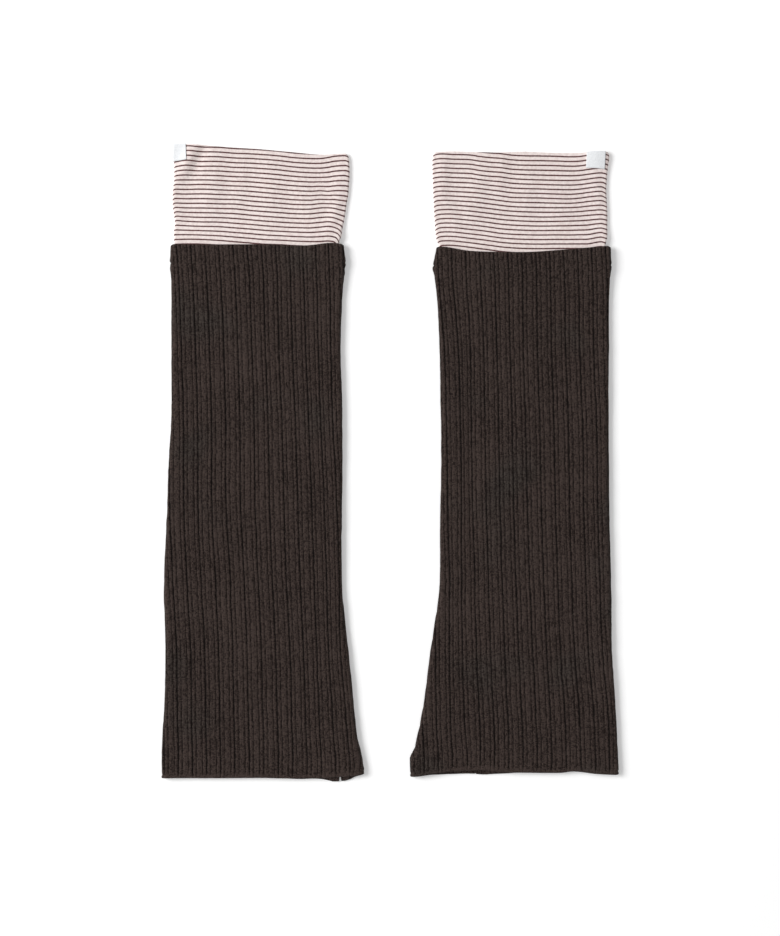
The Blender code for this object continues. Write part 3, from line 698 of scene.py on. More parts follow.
class Shell:
    """Collects the points and faces of one piece, with the cloth's own coordinates at each face's corners."""

    def __init__(self):
        self.points, self.faces, self.corners, self.plain = [], [], [], []
        self.count = 0

    def add_points(self, points, plain):
        """Adds points, with how plain the ribs are at each, and returns their numbers, arranged alike."""
        numbers = self.count + np.arange(points[..., 0].size).reshape(points.shape[:-1])
        self.points.append(points.reshape(-1, 3) * MM)
        self.plain.append(np.broadcast_to(plain, points.shape[:-1]).ravel())
        self.count += numbers.size
        return numbers

    def add_sleeve(self, points, cloth, plain=0.0, inward=False):
        """Joins rings in order. cloth has a column more than points, for the far side of where it closes."""
        here = self.add_points(points, plain)
        following = np.roll(here, -1, axis=1)
        quads = np.stack([here[:-1], following[:-1], following[1:], here[1:]], axis=-1)
        corners = np.stack([cloth[:-1, :-1], cloth[:-1, 1:], cloth[1:, 1:], cloth[1:, :-1]], axis=-2)
        if inward:
            quads, corners = quads[..., ::-1], corners[..., ::-1, :]
        self.faces.extend(quads.reshape(-1, 4).tolist())
        self.corners.append(corners.reshape(-1, 2))
        return here

    def close_edge(self, outer, outer_shares, inner, inner_shares, cloth, at_start):
        """Closes the cloth's edge between two rings of different counts, in step with their shares round."""
        outer, outer_shares = from_first_share(outer, outer_shares)
        inner, inner_shares = from_first_share(inner, inner_shares)
        i = j = 0
        while i < len(outer) or j < len(inner):
            here, there = outer[i % len(outer)], inner[j % len(inner)]
            if j == len(inner) or (i < len(outer) and outer_shares[i + 1] <= inner_shares[j + 1]):
                i += 1
                face = [here, there, outer[i % len(outer)]]
            else:
                j += 1
                face = [here, there, inner[j % len(inner)]]
            self.faces.append(face if at_start else face[::-1])
            self.corners.append(np.array([cloth] * 3))

    def add_band(self, sections, cloth):
        """Joins closed sections, each an outer path and the inner path back, and closes the two sides."""
        here = self.add_sleeve(sections, cloth)
        half = sections.shape[1] // 2
        for side, facing in ((0, 1), (-1, -1)):
            ring = here[side]
            for step in range(half - 1):
                face = [ring[step], ring[-1 - step], ring[-2 - step], ring[step + 1]]
                self.faces.append([int(number) for number in face[::facing]])
                self.corners.append(np.array([cloth[side, step]] * 4))

    def make(self, name, material):
        mesh = bpy.data.meshes.new(name)
        mesh.from_pydata(np.concatenate(self.points).tolist(), [], self.faces)
        layer = mesh.uv_layers.new(name="cloth")
        layer.data.foreach_set("uv", np.concatenate(self.corners).astype(np.float32).ravel())
        # Besides the flattened ribs, this attribute paints the knit lighter where they lie plain: painted
        # highlight.
        plain = mesh.attributes.new("plain", "FLOAT", "POINT")
        plain.data.foreach_set("value", np.concatenate(self.plain).astype(np.float32))
        mesh.materials.append(material)
        mesh.shade_smooth()
        mesh.validate()
        piece = bpy.data.objects.new(name, mesh)
        bpy.context.scene.collection.objects.link(piece)
        return piece


def from_first_share(ring, shares):
    """A ring's numbers and shares, turned to start at the lowest share, which comes again at the end."""
    ring, shares = [int(number) for number in ring], list(shares)
    start = shares.index(min(shares))
    turned = [*shares[start:], *shares[:start]]
    return ring[start:] + ring[:start], [*turned, turned[0] + 1]


def ring_points(tube, y, unrolled, shift, out):
    """Points round a tube: moved along Y by its edges' waves, and outwards by ribs or inwards by rounding."""
    spot = tube.place(y, unrolled)
    x, z = stand_off(spot, out(spot))
    return np.stack([x, y + shift(spot.x, y, spot.turn), z], axis=-1), spot


def round_shares(points, turn, low, high):
    """Each point's share of the way round a flat ring, by its X between the ring's two sides."""
    half_way = np.clip((points[:, 0] - low) / (high - low), 0, 1) / 2
    return np.where(turn < math.pi / 2, half_way, 1 - half_way)


def close_ends(shell, outer, inner, cloth):
    """Closes the cloth's two edges between its outer and its inner rings."""
    for end in (0, -1):
        across = outer.points[end, :, 0]
        span = across.min(), across.max()
        shares = [round_shares(sleeve.points[end], sleeve.turn[end], *span) for sleeve in (outer, inner)]
        shell.close_edge(outer.numbers[end], shares[0], inner.numbers[end], shares[1], cloth, end == 0)


def rounded_end(radius, steps):
    """The rows that round an edge over: how far each lies from the edge, and how far it is drawn in."""
    angles = np.linspace(math.pi / 2, 0, steps, endpoint=False)
    return radius * (1 - np.sin(angles)), radius * (1 - np.cos(angles))


def evenly(low, high, step):
    return np.linspace(low, high, max(round((high - low) / step), 1), endpoint=False)


# ---- Ribbed body ----

# Rows of points up the body: how many round each edge over, and their spacing near the edges and between.
BodyRows = namedtuple("BodyRows", "edge_steps fold_steps near_hem between near_top")
BODY_ROWS = BodyRows(edge_steps=4, fold_steps=5, near_hem=0.7, between=2.5, near_top=0.8)
NEAR_HEM = 6.0  # length above the lower edge
NEAR_TOP = 5.0  # length below the hem's line of stitches
BODY_HOLLOW = Around(front=56, fold=6, underside=44)
HollowRows = namedtuple("HollowRows", "first below_hem in_hem")
BODY_HOLLOW_ROWS = HollowRows(first=3.0, below_hem=8.0, in_hem=2.5)
ON_A_STITCH = (0.5, 0.0)  # the cloth coordinates of the knit's closed edges


def body_tube(leg):
    """The outside of the ribbed body at the depth of its grooves."""

    def front(x, y):
        panel = read(BODY_BULK, "front", leg.top - y)
        left, right = sides(leg.outline, y)
        from_fold = np.minimum(x - left, right - x)
        below_hem = smooth_step(leg.top - y, HEM_DEPTH, HEM_DEPTH + BELOW_HEM)
        bulge = FOLD_BULGE * hump(from_fold, 0, FOLD_BULGE_WIDTH)
        return panel + below_hem * (bulge + ridge_height(leg.ridges, x, y))

    return FlatTube(
        lambda y: read(leg.outline, "left", y) + OUTLINE_RISE,
        lambda y: read(leg.outline, "right", y) - OUTLINE_RISE,
        lambda y: 0.0 * y,
        front,
    )


def body_hollow(leg):
    return body_tube(leg).inside(
        BODY_SIDE_WALL, lambda y: read(BODY_BULK, "floor_wall", leg.top - y), BODY_FRONT_WALL
    )


def whole_rib(half):
    """A whole repeat of the ribs from its first half."""
    mirrored = [RibPoint(1 - point.across, point.rise) for point in reversed(half[1:-1])]
    return [*half, *mirrored]


def rib_columns(leg, tube):
    """Each column of points round the body: its place in the rib pattern, in repeats, and its rib's rise."""
    wales = []
    for repeat in range(leg.first_repeat, leg.first_repeat + leg.repeats):
        shown = repeat < leg.last_repeat
        wales += [repeat + point.across for point in whole_rib(HALF_RIB if shown else HALF_RIB_UNDERNEATH)]
    hem = np.full((1, 1), leg.hem)
    notch = tube.underneath(hem, leg.notch.x - leg.notch.width * np.array(NOTCH_PLACES))
    wales = np.sort([*wales, *np.interp(notch[0], wale_places(leg, tube, hem, wales)[0], wales)])
    profile = [*whole_rib(HALF_RIB), RibPoint(1.0, 0.0)]
    return wales, np.interp(wales % 1, *zip(*profile))


def wale_places(leg, tube, y, wales):
    """Unrolled distances of places in the rib pattern, one row for each y."""
    last, closing = leg.last_repeat, leg.first_repeat + leg.repeats
    known = [leg.first_repeat, *GROOVES, last, closing]
    perimeters = tube.perimeter(y).ravel()
    rows = []
    for row, perimeter in zip(y.ravel(), perimeters):
        grooves = [float(read(leg.grain, f"groove{number}", row)) for number in GROOVES]
        start = grooves[0] + (leg.first_repeat - GROOVES[0]) * RIB_REPEAT
        end = grooves[-1] + (last - GROOVES[-1]) * RIB_REPEAT
        rows.append(np.interp(wales, known, [start, *grooves, end, start + perimeter]))
    return np.array(rows)


def ribs_stand(leg, y):
    """1 where the ribs stand fully, less at the lower edge, the line of the hem's stitches and the top."""
    from_top = leg.top - y
    stands = smooth_step(y - leg.hem, *RIBS_RISE_FROM_HEM)
    stands = stands * (1 - RIBS_LESS_AT_TOP * smooth_step(-from_top, -TOP_ROLL, 0.0))
    return stands * (1 - RIBS_LESS_AT_LINE * hump(from_top, HEM_DEPTH, HEM_LINE))


def rib_relief(leg, wales, rises, y, spot):
    """How far each point stands out from the depth of the grooves."""
    from_hem, from_top = y - leg.hem, leg.top - y
    swell = 1 + knit_unevenness(leg, RIB_SWELL, wales, y)
    stands = ribs_stand(leg, y)
    standing = PLAIN_RISE + (rises * swell - PLAIN_RISE) * stands
    lip = EDGE_LIP * (hump(from_hem, *EDGE_LIP_PLACE) - EDGE_LINE_DEPTH * hump(from_hem, *EDGE_LINE_PLACE))
    pressed_line = -HEM_LINE_DEPTH * hump(from_top, HEM_DEPTH, HEM_LINE)
    lumps = knit_unevenness(leg, YARN_LUMPS, wales, y)
    flat_share = smooth_step(spot.turn, *RIB_TURNS_UNDER)
    shown = RIB_RISE * standing + lip + pressed_line + lumps
    pressed = -PRESSED_GROOVE * (1 - rises * stands)
    return shown * (1 - flat_share) + pressed * flat_share


def body_stations(leg):
    """The y of each row of the body's outside, and how far it is drawn in where an edge is rounded."""
    rows = BODY_ROWS
    at_hem, drawn_in = rounded_end(CUT_EDGE, rows.edge_steps)
    at_top, drawn_in_top = rounded_end(FOLDED_EDGE, rows.fold_steps)
    length = leg.top - leg.hem
    near_top = length - HEM_DEPTH - NEAR_TOP
    between = np.concatenate([
        evenly(CUT_EDGE, NEAR_HEM, rows.near_hem),
        evenly(NEAR_HEM, near_top, rows.between),
        evenly(near_top, length - FOLDED_EDGE, rows.near_top),
    ])
    from_hem = np.concatenate([at_hem, between, length - at_top[::-1]])
    inset = np.concatenate([drawn_in, 0 * between, drawn_in_top[::-1]])
    return leg.hem + from_hem[:, None], inset[:, None]


def knit_cloth(leg, around, y):
    """The cloth coordinates of a body's points: stitches across and courses along."""
    stitches, courses = around[None, :] * STITCHES_IN_REPEAT, (y - leg.hem) / COURSE
    return np.stack(np.broadcast_arrays(stitches, courses), axis=-1)


def add_body_outside(shell, leg, tube):
    wales, rises = rib_columns(leg, tube)
    y, inset = body_stations(leg)
    unrolled = wale_places(leg, tube, y, wales) + knit_unevenness(leg, RIB_WANDER, wales, y)

    def out(spot):
        return rib_relief(leg, wales, rises, y, spot) - inset

    points, spot = ring_points(tube, y, unrolled, partial(body_shift, leg), out)
    cloth = knit_cloth(leg, np.append(wales, leg.first_repeat + leg.repeats), y)
    return Sleeve(shell.add_sleeve(points, cloth, 1 - ribs_stand(leg, y)), points, spot.turn)


def add_body_inside(shell, leg, hollow):
    rows, thickens = BODY_HOLLOW_ROWS, leg.top - HEM_DEPTH - BACK_THICKENS
    y = np.concatenate([
        [leg.hem, leg.hem + CUT_EDGE],
        evenly(leg.hem + rows.first, thickens, rows.below_hem),
        evenly(thickens, leg.top - FOLDED_EDGE, rows.in_hem),
        [leg.top - FOLDED_EDGE, leg.top],
    ])[:, None]
    opened = np.zeros_like(y)
    opened[0], opened[-1] = CUT_EDGE, FOLDED_EDGE * HOLLOW_ROUNDED
    notch = hollow.underneath(y, leg.notch.x + leg.notch.width * np.array(NOTCH_PLACES))
    places = np.sort(np.concatenate([hollow.even_places(y, BODY_HOLLOW), notch], axis=1), axis=1)
    points, spot = ring_points(hollow, y, places, partial(body_shift, leg), lambda spot: opened)
    cloth = knit_cloth(leg, np.linspace(0, 1, points.shape[1] + 1) * leg.repeats, y)
    return Sleeve(shell.add_sleeve(points, cloth, inward=True), points, spot.turn)


def make_body(leg, material):
    shell = Shell()
    outside = add_body_outside(shell, leg, body_tube(leg))
    inside = add_body_inside(shell, leg, body_hollow(leg))
    close_ends(shell, outside, inside, ON_A_STITCH)
    return shell.make(f"rib_knit_body_{leg.name}", material)


# ---- Striped cuff ----

CUFF_ROW = 0.62
CUFF_EDGE_STEPS = 5
CUFF_AROUND = Around(front=150, fold=14, underside=84)
CUFF_HOLLOW_ROW = 3.0
CUFF_HOLLOW_END = 1.0  # length of its first and last row
CUFF_HOLLOW_AROUND = Around(front=60, fold=4, underside=40)
BETWEEN_STRIPES = (0.0, 0.5)  # the cloth coordinates of a pale place


def cuff_tube(leg):
    """The outside of the cuff: held between the layers of the hem, then down onto the floor past it."""
    lifted = HEM_BACK_WALL + SEAM_GAP
    clear = leg.top + CUFF_CLEAR
    thickness = 2 * CUFF_WALL + CUFF_HOLLOW

    def floor(y):
        return lifted * (1 - smooth_step(y, clear, clear + CUFF_LANDS))

    def front(x, y):
        sunk = (lifted - CUFF_LIGHTER) * smooth_step(y, clear, clear + CUFF_SETTLES)
        risen = smooth_step(y, clear, clear + CUFF_RISES) * ridge_height(leg.cuff_ridges, x, y)
        return lifted + thickness - sunk + risen

    return FlatTube(
        lambda y: read(leg.cuff_outline, "left", y),
        lambda y: read(leg.cuff_outline, "right", y),
        floor,
        front,
    )


def stripe_drop(leg, side, y, distance):
    """How far the stripes have turned down at a distance from one of the side folds."""
    near_fold = np.clip(1 - distance / read(leg.stripe_drops, f"{side}_over", y), 0, 1)
    return read(leg.stripe_drops, side, y) * near_fold**2


def stripe_number(leg, x, y, turn):
    """The count of stripes down from the fold to a place, a whole number at the middle of each stripe."""
    lines = [read(leg.stripes, f"stripe{number}", x) for number in STRIPES_READ]
    steps = np.diff(STRIPES_READ)
    total = STRIPES_READ[0] + np.minimum(lines[0] - y, 0) / STRIPE_PITCH
    for step, upper, lower in zip(steps, lines, lines[1:]):
        total = total + step * np.clip((upper - y) / (upper - lower), 0, 1)
    total = total + np.maximum(lines[-1] - y, 0) / STRIPE_PITCH
    left, right = sides(leg.cuff_outline, y)
    drop = stripe_drop(leg, "left", y, x - left) + stripe_drop(leg, "right", y, right - x)
    behind = smooth_step(turn, math.pi / 2, math.pi)
    return total - drop / STRIPE_PITCH * (1 - behind) - STRIPES_LOWER_BEHIND * behind


def add_cuff_layer(shell, leg, tube, around, y, outwards, inward=False):
    """Adds the outer or the inner face of the cuff, with its stripes."""
    places = tube.even_places(y, around)
    points, spot = ring_points(tube, y, places, partial(cuff_shift, leg), lambda spot: outwards)
    cloth = np.stack([spot.x, stripe_number(leg, spot.x, points[..., 1], spot.turn)], axis=-1)
    cloth = np.concatenate([cloth, cloth[:, :1]], axis=1)
    return Sleeve(shell.add_sleeve(points, cloth, inward=inward), points, spot.turn)


def make_cuff(leg, material):
    tube, shell = cuff_tube(leg), Shell()
    bottom, top = leg.top - CUFF_REACH, leg.cuff_top
    end, drawn_in = rounded_end(CUFF_WALL / 2, CUFF_EDGE_STEPS)
    straight = evenly(bottom + CUFF_WALL / 2, top - CUFF_WALL / 2, CUFF_ROW)
    y = np.concatenate([bottom + end, straight, top - end[::-1]])[:, None]
    inset = np.concatenate([drawn_in, 0 * straight, drawn_in[::-1]])[:, None]
    outside = add_cuff_layer(shell, leg, tube, CUFF_AROUND, y, -inset)
    hollow = tube.inside(CUFF_WALL, lambda y: CUFF_WALL, CUFF_WALL)
    between = evenly(bottom + CUFF_HOLLOW_END, top - CUFF_HOLLOW_END, CUFF_HOLLOW_ROW)
    y = np.concatenate([[bottom], between, [top - CUFF_HOLLOW_END, top]])[:, None]
    opened = np.zeros_like(y)
    opened[0] = opened[-1] = CUFF_WALL / 2 * HOLLOW_ROUNDED
    inside = add_cuff_layer(shell, leg, hollow, CUFF_HOLLOW_AROUND, y, opened, inward=True)
    close_ends(shell, outside, inside, BETWEEN_STRIPES)
    return shell.make(f"jersey_cuff_{leg.name}", material)


# ---- Label ----

LABEL_COLUMNS = 26
LABEL_DROP_ROWS = 14
LABEL_ARC_ROWS = 9
LABEL_INSIDE_ROWS = 3


def label_path(outwards):
    """One face of the label as (outward, up) pairs from its lower edge, over the cuff's fold and down inside.

    outwards is how far that face lies off the cuff.
    """
    half = CUFF_WALL / 2
    drop = [(outwards, up) for up in np.linspace(-LABEL_DROP, 0, LABEL_DROP_ROWS, endpoint=False)]
    angles = np.linspace(0, math.pi, LABEL_ARC_ROWS)
    arc = [(-half + (half + outwards) * math.cos(a), outwards * math.sin(a)) for a in angles]
    within = [(-CUFF_WALL - outwards, up) for up in np.linspace(0, -LABEL_INSIDE, LABEL_INSIDE_ROWS + 1)[1:]]
    return np.array([*drop, *arc, *within])


def label_surface(leg, tube, reached, outward, up):
    """Points of the label, by their distance from its inner side, off the cuff and up from its edge."""
    up = up * (1 + LABEL_FLARE * (reached / LABEL_WIDTH - LABEL_FLARE_FROM))
    y = leg.cuff_top + np.minimum(up, 0.0)
    unrolled = leg.label.edge_x + leg.label.side * reached + leg.label.lean * up
    spot = tube.place(y, unrolled)
    moved = cuff_shift(leg, spot.x, y, spot.turn)
    outward = outward + LABEL_LOOSE * smooth_step(spot.turn, 0, LABEL_LOOSE_TURN)
    x, z = stand_off(spot, outward)
    return np.stack([x, leg.cuff_top + up + moved, z], axis=-1)


def label_reach(leg, tube):
    """The label's width on the flat panel, and all of it with what goes round the side fold."""
    start, end, left_radius, right_radius = tube.folds(np.array(leg.cuff_top))
    side = leg.label.side
    fold_place, radius = (start, left_radius) if side < 0 else (end, right_radius)
    flat = side * (fold_place - leg.label.edge_x)
    folded = (LABEL_WIDTH - flat) * radius / (radius + LABEL_GAP + LABEL_WALL / 2 + LABEL_LOOSE)
    return flat, min(flat + folded, flat + LABEL_MOST_TURN * radius)


def label_face(outwards, shortened, drawn_out):
    """One face of the label, whose inner end is drawn up and out over the edge where the cuff turns down."""
    outward, up = label_path(outwards).T
    past_drop = np.maximum(np.arange(len(up)) - LABEL_DROP_ROWS, 0)
    is_inner_end = past_drop > LABEL_ARC_ROWS // 2
    row_gaps = LABEL_ROW_GAP * past_drop
    outward = outward + drawn_out * (np.maximum(outward, LABEL_LIP - row_gaps) - outward)
    up = up + shortened * (np.maximum(up, outwards - row_gaps) - up) * is_inner_end
    return outward, up


def make_label(leg, material):
    tube = cuff_tube(leg)
    flat, width = label_reach(leg, tube)
    reached = np.linspace(0, width, LABEL_COLUMNS)[:, None]
    stretches = (LABEL_SHORTENED, LABEL_DRAWN_OUT)
    drawn = [smooth_step(reached, flat - begins, flat - ends) for begins, ends in stretches]
    faces = [
        label_surface(leg, tube, reached, *label_face(outwards, *drawn))
        for outwards in (LABEL_GAP + LABEL_WALL, LABEL_GAP)
    ]
    section = np.concatenate([faces[0], faces[1][:, ::-1]], axis=1)
    path = label_path(0.0)
    lengths = np.concatenate([[0], np.cumsum(np.hypot(*np.diff(path, axis=0).T))])
    along = np.concatenate([lengths, lengths[::-1], lengths[:1]])
    cloth = np.stack(np.broadcast_arrays(reached, along[None, :]), axis=-1)
    shell = Shell()
    shell.add_band(section, cloth)
    return shell.make(f"woven_label_{leg.name}", material)


# ---- Stitching ----

THREAD_SIDES = 6
THREAD_END = 0.35  # share of a thread's thickness that is left at its ends
Thread = namedtuple("Thread", "radius points lift arch")  # lift at its ends, and how much more in its middle
HEM_THREAD = Thread(radius=0.16, points=6, lift=0.25, arch=0.35)
LABEL_THREAD = Thread(radius=0.11, points=5, lift=0.0, arch=0.08)
RibStitch = namedtuple("RibStitch", "across half_width")  # in shares of a repeat
HEM_STITCHES = table(RibStitch, (0.15, 0.07), (0.50, 0.10), (0.85, 0.07))
HEM_STITCH_SLANT = 0.25
HEM_STITCH_TURN = math.radians(80)  # no stitch lies further round a side fold
StitchRow = namedtuple("StitchRow", "start margin spacing length up")
LABEL_STITCHES = StitchRow(start=0.9, margin=0.4, spacing=1.25, length=0.75, up=1.0)


def thread_lift(thread):
    """How far a thread's points lie off the cloth, from end to end."""
    return thread.lift + thread.arch * np.sin(np.linspace(0, math.pi, thread.points))


def add_thread(shell, path, radius):
    """A short round thread along a path, closed and tapered at both ends."""
    path = np.asarray(path)
    ahead = np.gradient(path, axis=0)
    ahead = ahead / np.linalg.norm(ahead, axis=1, keepdims=True)
    aside = np.cross(ahead, [0, 0, 1.0])
    aside = aside / np.linalg.norm(aside, axis=1, keepdims=True)
    upward = np.cross(aside, ahead)
    angles = np.arange(THREAD_SIDES) * 2 * math.pi / THREAD_SIDES
    taper = np.full(len(path), radius)
    taper[0] = taper[-1] = radius * THREAD_END
    rings = path[:, None] + taper[:, None, None] * (
        aside[:, None] * np.cos(angles)[:, None] + upward[:, None] * np.sin(angles)[:, None]
    )
    cloth = np.zeros((len(path), THREAD_SIDES + 1, 2))
    here = shell.add_sleeve(rings, cloth, inward=True)
    for ring, facing in ((here[0], 1), (here[-1], -1)):
        shell.faces.append([int(number) for number in ring[::facing]])
        shell.corners.append(np.zeros((THREAD_SIDES, 2)))


def make_hem_stitches(leg, material):
    """The blind stitching that catches the turned hem, a short thread across each rib."""
    tube, shell, thread = body_tube(leg), Shell(), HEM_THREAD
    y = np.full((1, 1), leg.top - HEM_DEPTH)
    slant = np.linspace(-HEM_STITCH_SLANT, HEM_STITCH_SLANT, thread.points)
    for repeat in range(leg.first_repeat, leg.last_repeat):
        for across, half_width in HEM_STITCHES:
            wales = repeat + across + np.linspace(-half_width, half_width, thread.points)
            spot = tube.place(y, wale_places(leg, tube, y, wales))
            if spot.turn.max() > HEM_STITCH_TURN:
                continue
            x, z = stand_off(spot, thread_lift(thread))
            path = np.stack([x, y + body_shift(leg, spot.x, y, spot.turn) + slant, z], axis=-1)[0]
            add_thread(shell, path, thread.radius)
    return shell.make(f"hem_stitches_{leg.name}", material)


def make_label_stitches(leg, material):
    """A row of small stitches that holds the label's lower edge."""
    tube, shell, row, thread = cuff_tube(leg), Shell(), LABEL_STITCHES, LABEL_THREAD
    flat, _ = label_reach(leg, tube)
    outward = LABEL_GAP + LABEL_WALL + thread_lift(thread)
    up = np.full(thread.points, -LABEL_DROP + row.up)
    for start in np.arange(row.start, flat - row.margin, row.spacing):
        reached = start + np.linspace(0, row.length, thread.points)
        add_thread(shell, label_surface(leg, tube, reached, outward, up), thread.radius)
    return shell.make(f"label_stitches_{leg.name}", material)


# ---- Finishes ----

STREAK_SQUEEZE = 0.08  # a streak is this many times as wide as it is long
MAIN_GROOVE_SIDE = (0.12, 0.92)  # millimetres from a groove's middle between which its side comes up
FINE_GROOVE_SIDE = (0.06, 0.66)


def maths(operation, swapped=False):
    """A method that adds a Math node to the wire's shader."""

    def method(wire, *others):
        values = (*others, wire) if swapped else (wire, *others)
        return wire.finish.node("ShaderNodeMath", {"operation": operation}, dict(enumerate(values)))

    return method


class Wire:
    """A value in a shader. Arithmetic on it adds Math nodes."""

    def __init__(self, finish, socket):
        self.finish, self.socket = finish, socket

    __add__, __radd__ = maths("ADD"), maths("ADD", swapped=True)
    __sub__, __rsub__ = maths("SUBTRACT"), maths("SUBTRACT", swapped=True)
    __mul__, __rmul__ = maths("MULTIPLY"), maths("MULTIPLY", swapped=True)
    __truediv__, __pow__, __abs__ = maths("DIVIDE"), maths("POWER"), maths("ABSOLUTE")
    fraction, floor, cosine = maths("FRACT"), maths("FLOOR"), maths("COSINE")

    def step(self, start, end):
        """0 where this value is at start, 1 where it is at end, and a soft curve between."""
        settings = {"interpolation_type": "SMOOTHSTEP"}
        inputs = {"Value": self, "From Min": start, "From Max": end}
        return self.finish.node("ShaderNodeMapRange", settings, inputs)


class Finish:
    """A material under construction round its main shader."""

    def __init__(self, name, **fixed):
        self.material = bpy.data.materials.new(name)
        self.material.use_nodes = True
        self.tree = self.material.node_tree
        self.shader = self.tree.nodes["Principled BSDF"]
        self.shader.inputs["Specular IOR Level"].default_value = 0.15
        for socket, value in fixed.items():
            self.shader.inputs[socket.replace("_", " ").title()].default_value = value

    def node(self, kind, settings, inputs, output=0):
        """Adds a node, makes its settings and feeds its sockets, and gives one of its outputs."""
        made = self.tree.nodes.new(kind)
        for setting, value in settings.items():
            setattr(made, setting, value)
        for socket, value in inputs.items():
            self.feed(made.inputs[socket], value)
        return Wire(self, made.outputs[output])

    def feed(self, socket, value):
        if isinstance(value, Wire):
            self.tree.links.new(value.socket, socket)
        else:
            socket.default_value = value

    def cloth_coordinates(self):
        """The cloth's own coordinates, across and along."""
        place = self.node("ShaderNodeUVMap", {"uv_map": "cloth"}, {})
        return (self.node("ShaderNodeSeparateXYZ", {}, {0: place}, output) for output in (0, 1))

    def attribute(self, name):
        return self.node("ShaderNodeAttribute", {"attribute_name": name}, {}, "Fac")

    def noise(self, scale, detail=2.0):
        """Fine unevenness over the object's own space, scale lumps to the metre."""
        place = self.node("ShaderNodeTexCoord", {}, {}, "Object")
        inputs = {"Vector": place, "Scale": scale, "Detail": detail}
        return self.node("ShaderNodeTexNoise", {}, inputs, "Fac")

    def streaks(self, across, along, scale):
        """Unevenness drawn out along the cloth, by its own coordinates."""
        place = self.node("ShaderNodeCombineXYZ", {}, {0: across, 1: along * STREAK_SQUEEZE})
        inputs = {"Vector": place, "Scale": scale, "Detail": 2.0}
        return self.node("ShaderNodeTexNoise", {"noise_dimensions": "2D"}, inputs, "Fac")

    def blend(self, share, one, other):
        """A colour between two others."""
        inputs = {"Factor": share, 6: one, 7: other}
        return self.node("ShaderNodeMix", {"data_type": "RGBA"}, inputs, 2)

    def cover(self, colour, relief=None, distance=0.0, strength=1.0):
        """Gives the material its colour and its relief, distance deep in metres, and finishes it."""
        self.feed(self.shader.inputs["Base Color"], colour)
        if relief:
            inputs = {"Height": relief, "Distance": distance, "Strength": strength}
            self.feed(self.shader.inputs["Normal"], self.node("ShaderNodeBump", {}, inputs, "Normal"))
        return self.material


def knit_stitches(across, along):
    """Plain knit stitches, one to a unit each way: their height from 0 to 1, and each one's own tone."""
    from_middle = abs(2 * across.fraction() - 1)
    rounded = 1 - from_middle**2.5
    row = along + 0.55 * from_middle
    legs = 0.5 + 0.5 * (row * (2 * math.pi)).cosine()
    finish = across.finish
    cell = finish.node("ShaderNodeCombineXYZ", {}, {0: across.floor(), 1: (row + 0.5).floor()})
    tone = finish.node("ShaderNodeTexWhiteNoise", {"noise_dimensions": "2D"}, {"Vector": cell}, "Value")
    return rounded * (0.45 + 0.55 * legs), tone


def rib_knit():
    finish = Finish("charcoal_rib_knit", roughness=0.95, sheen_weight=0.02, sheen_roughness=0.5)
    across, along = finish.cloth_coordinates()
    plain = finish.attribute("plain")
    stitches, tone = knit_stitches(across, along)
    fuzz = finish.noise(1800.0, 3.0)
    wobble = 1.3 * (finish.noise(360.0, 2.0) - 0.5)
    from_main = abs(((across + wobble) / STITCHES_IN_REPEAT + 0.5).fraction() - 0.5)
    from_fine = abs(from_main - FINE_GROOVE)
    main_groove = 1 - (from_main * RIB_REPEAT).step(*MAIN_GROOVE_SIDE)
    fine_groove = 1 - (from_fine * RIB_REPEAT).step(*FINE_GROOVE_SIDE)
    # Painted shade: the grooves are darkened in the colour by these randomly varied amounts, standing in for
    # the shade inside them.
    main_shade_depth = 0.46 + 0.66 * finish.noise(70.0, 2.0).step(0.32, 0.68)
    fine_shade_depth = 0.30 + 0.58 * finish.noise(95.0, 2.0).step(0.32, 0.68)
    grooves = (main_groove * main_shade_depth + fine_groove * fine_shade_depth) * (1 - plain)
    broad = finish.noise(24.0, 2.0)
    patches = finish.noise(17.0, 1.0).step(0.56, 0.80)
    light = finish.blend(patches, (0.0553, 0.0390, 0.0337, 1), (0.0494, 0.0398, 0.0349, 1))
    dark = (0.0085, 0.0048, 0.0038, 1)
    wales = finish.streaks(across, along, 1.4)
    # The stitches' height also lightens each loop and darkens the hollows between loops: painted shade, mixed
    # with the real random tones, fuzz and streaks.
    speckle = 0.45 * (stitches - 0.5) + 1.0 * (tone - 0.5) + 2.5 * (fuzz - 0.5) + 1.3 * (wales - 0.5)
    # Where the ribs lie plain, at the lower edge, the hem's line and the folded top, the knit is painted
    # lighter: painted highlight; the grooves' painted shade is left out there too.
    shade = (0.71 + speckle + 0.7 * (broad - 0.5) - grooves + 0.10 * plain).step(-0.15, 1.15)
    relief = stitches * 0.7 + fuzz * 1.2 - 0.7 * main_groove
    return finish.cover(finish.blend(shade, dark, light), relief, distance=0.00040, strength=0.9)


def striped_jersey():
    finish = Finish("striped_jersey", roughness=0.88, sheen_weight=0.05, sheen_roughness=0.5)
    across, number = finish.cloth_coordinates()
    fuzz = finish.noise(1100.0, 3.0)
    stitch = ((across / JERSEY_WALE) * (2 * math.pi)).cosine()
    from_stripe = abs((number + 0.5).fraction() - 0.5) * STRIPE_PITCH
    edge = from_stripe + 0.05 * stitch + 0.22 * (fuzz - 0.5)
    stripe = 1 - edge.step(STRIPE_WIDTH / 2 - STRIPE_EDGE, STRIPE_WIDTH / 2 + STRIPE_EDGE)
    heather = finish.noise(420.0, 3.0)
    ground = finish.blend(heather.step(0.35, 0.65), (0.762, 0.656, 0.629, 1), (0.865, 0.767, 0.738, 1))
    brown = finish.blend(fuzz.step(0.35, 0.65), (0.056, 0.0175, 0.018, 1), (0.134, 0.053, 0.053, 1))
    stitches, _ = knit_stitches(across / JERSEY_WALE, number * STRIPE_COURSES)
    relief = stitches * 0.8 + fuzz * 0.4
    return finish.cover(finish.blend(stripe, ground, brown), relief, distance=0.00016, strength=0.6)


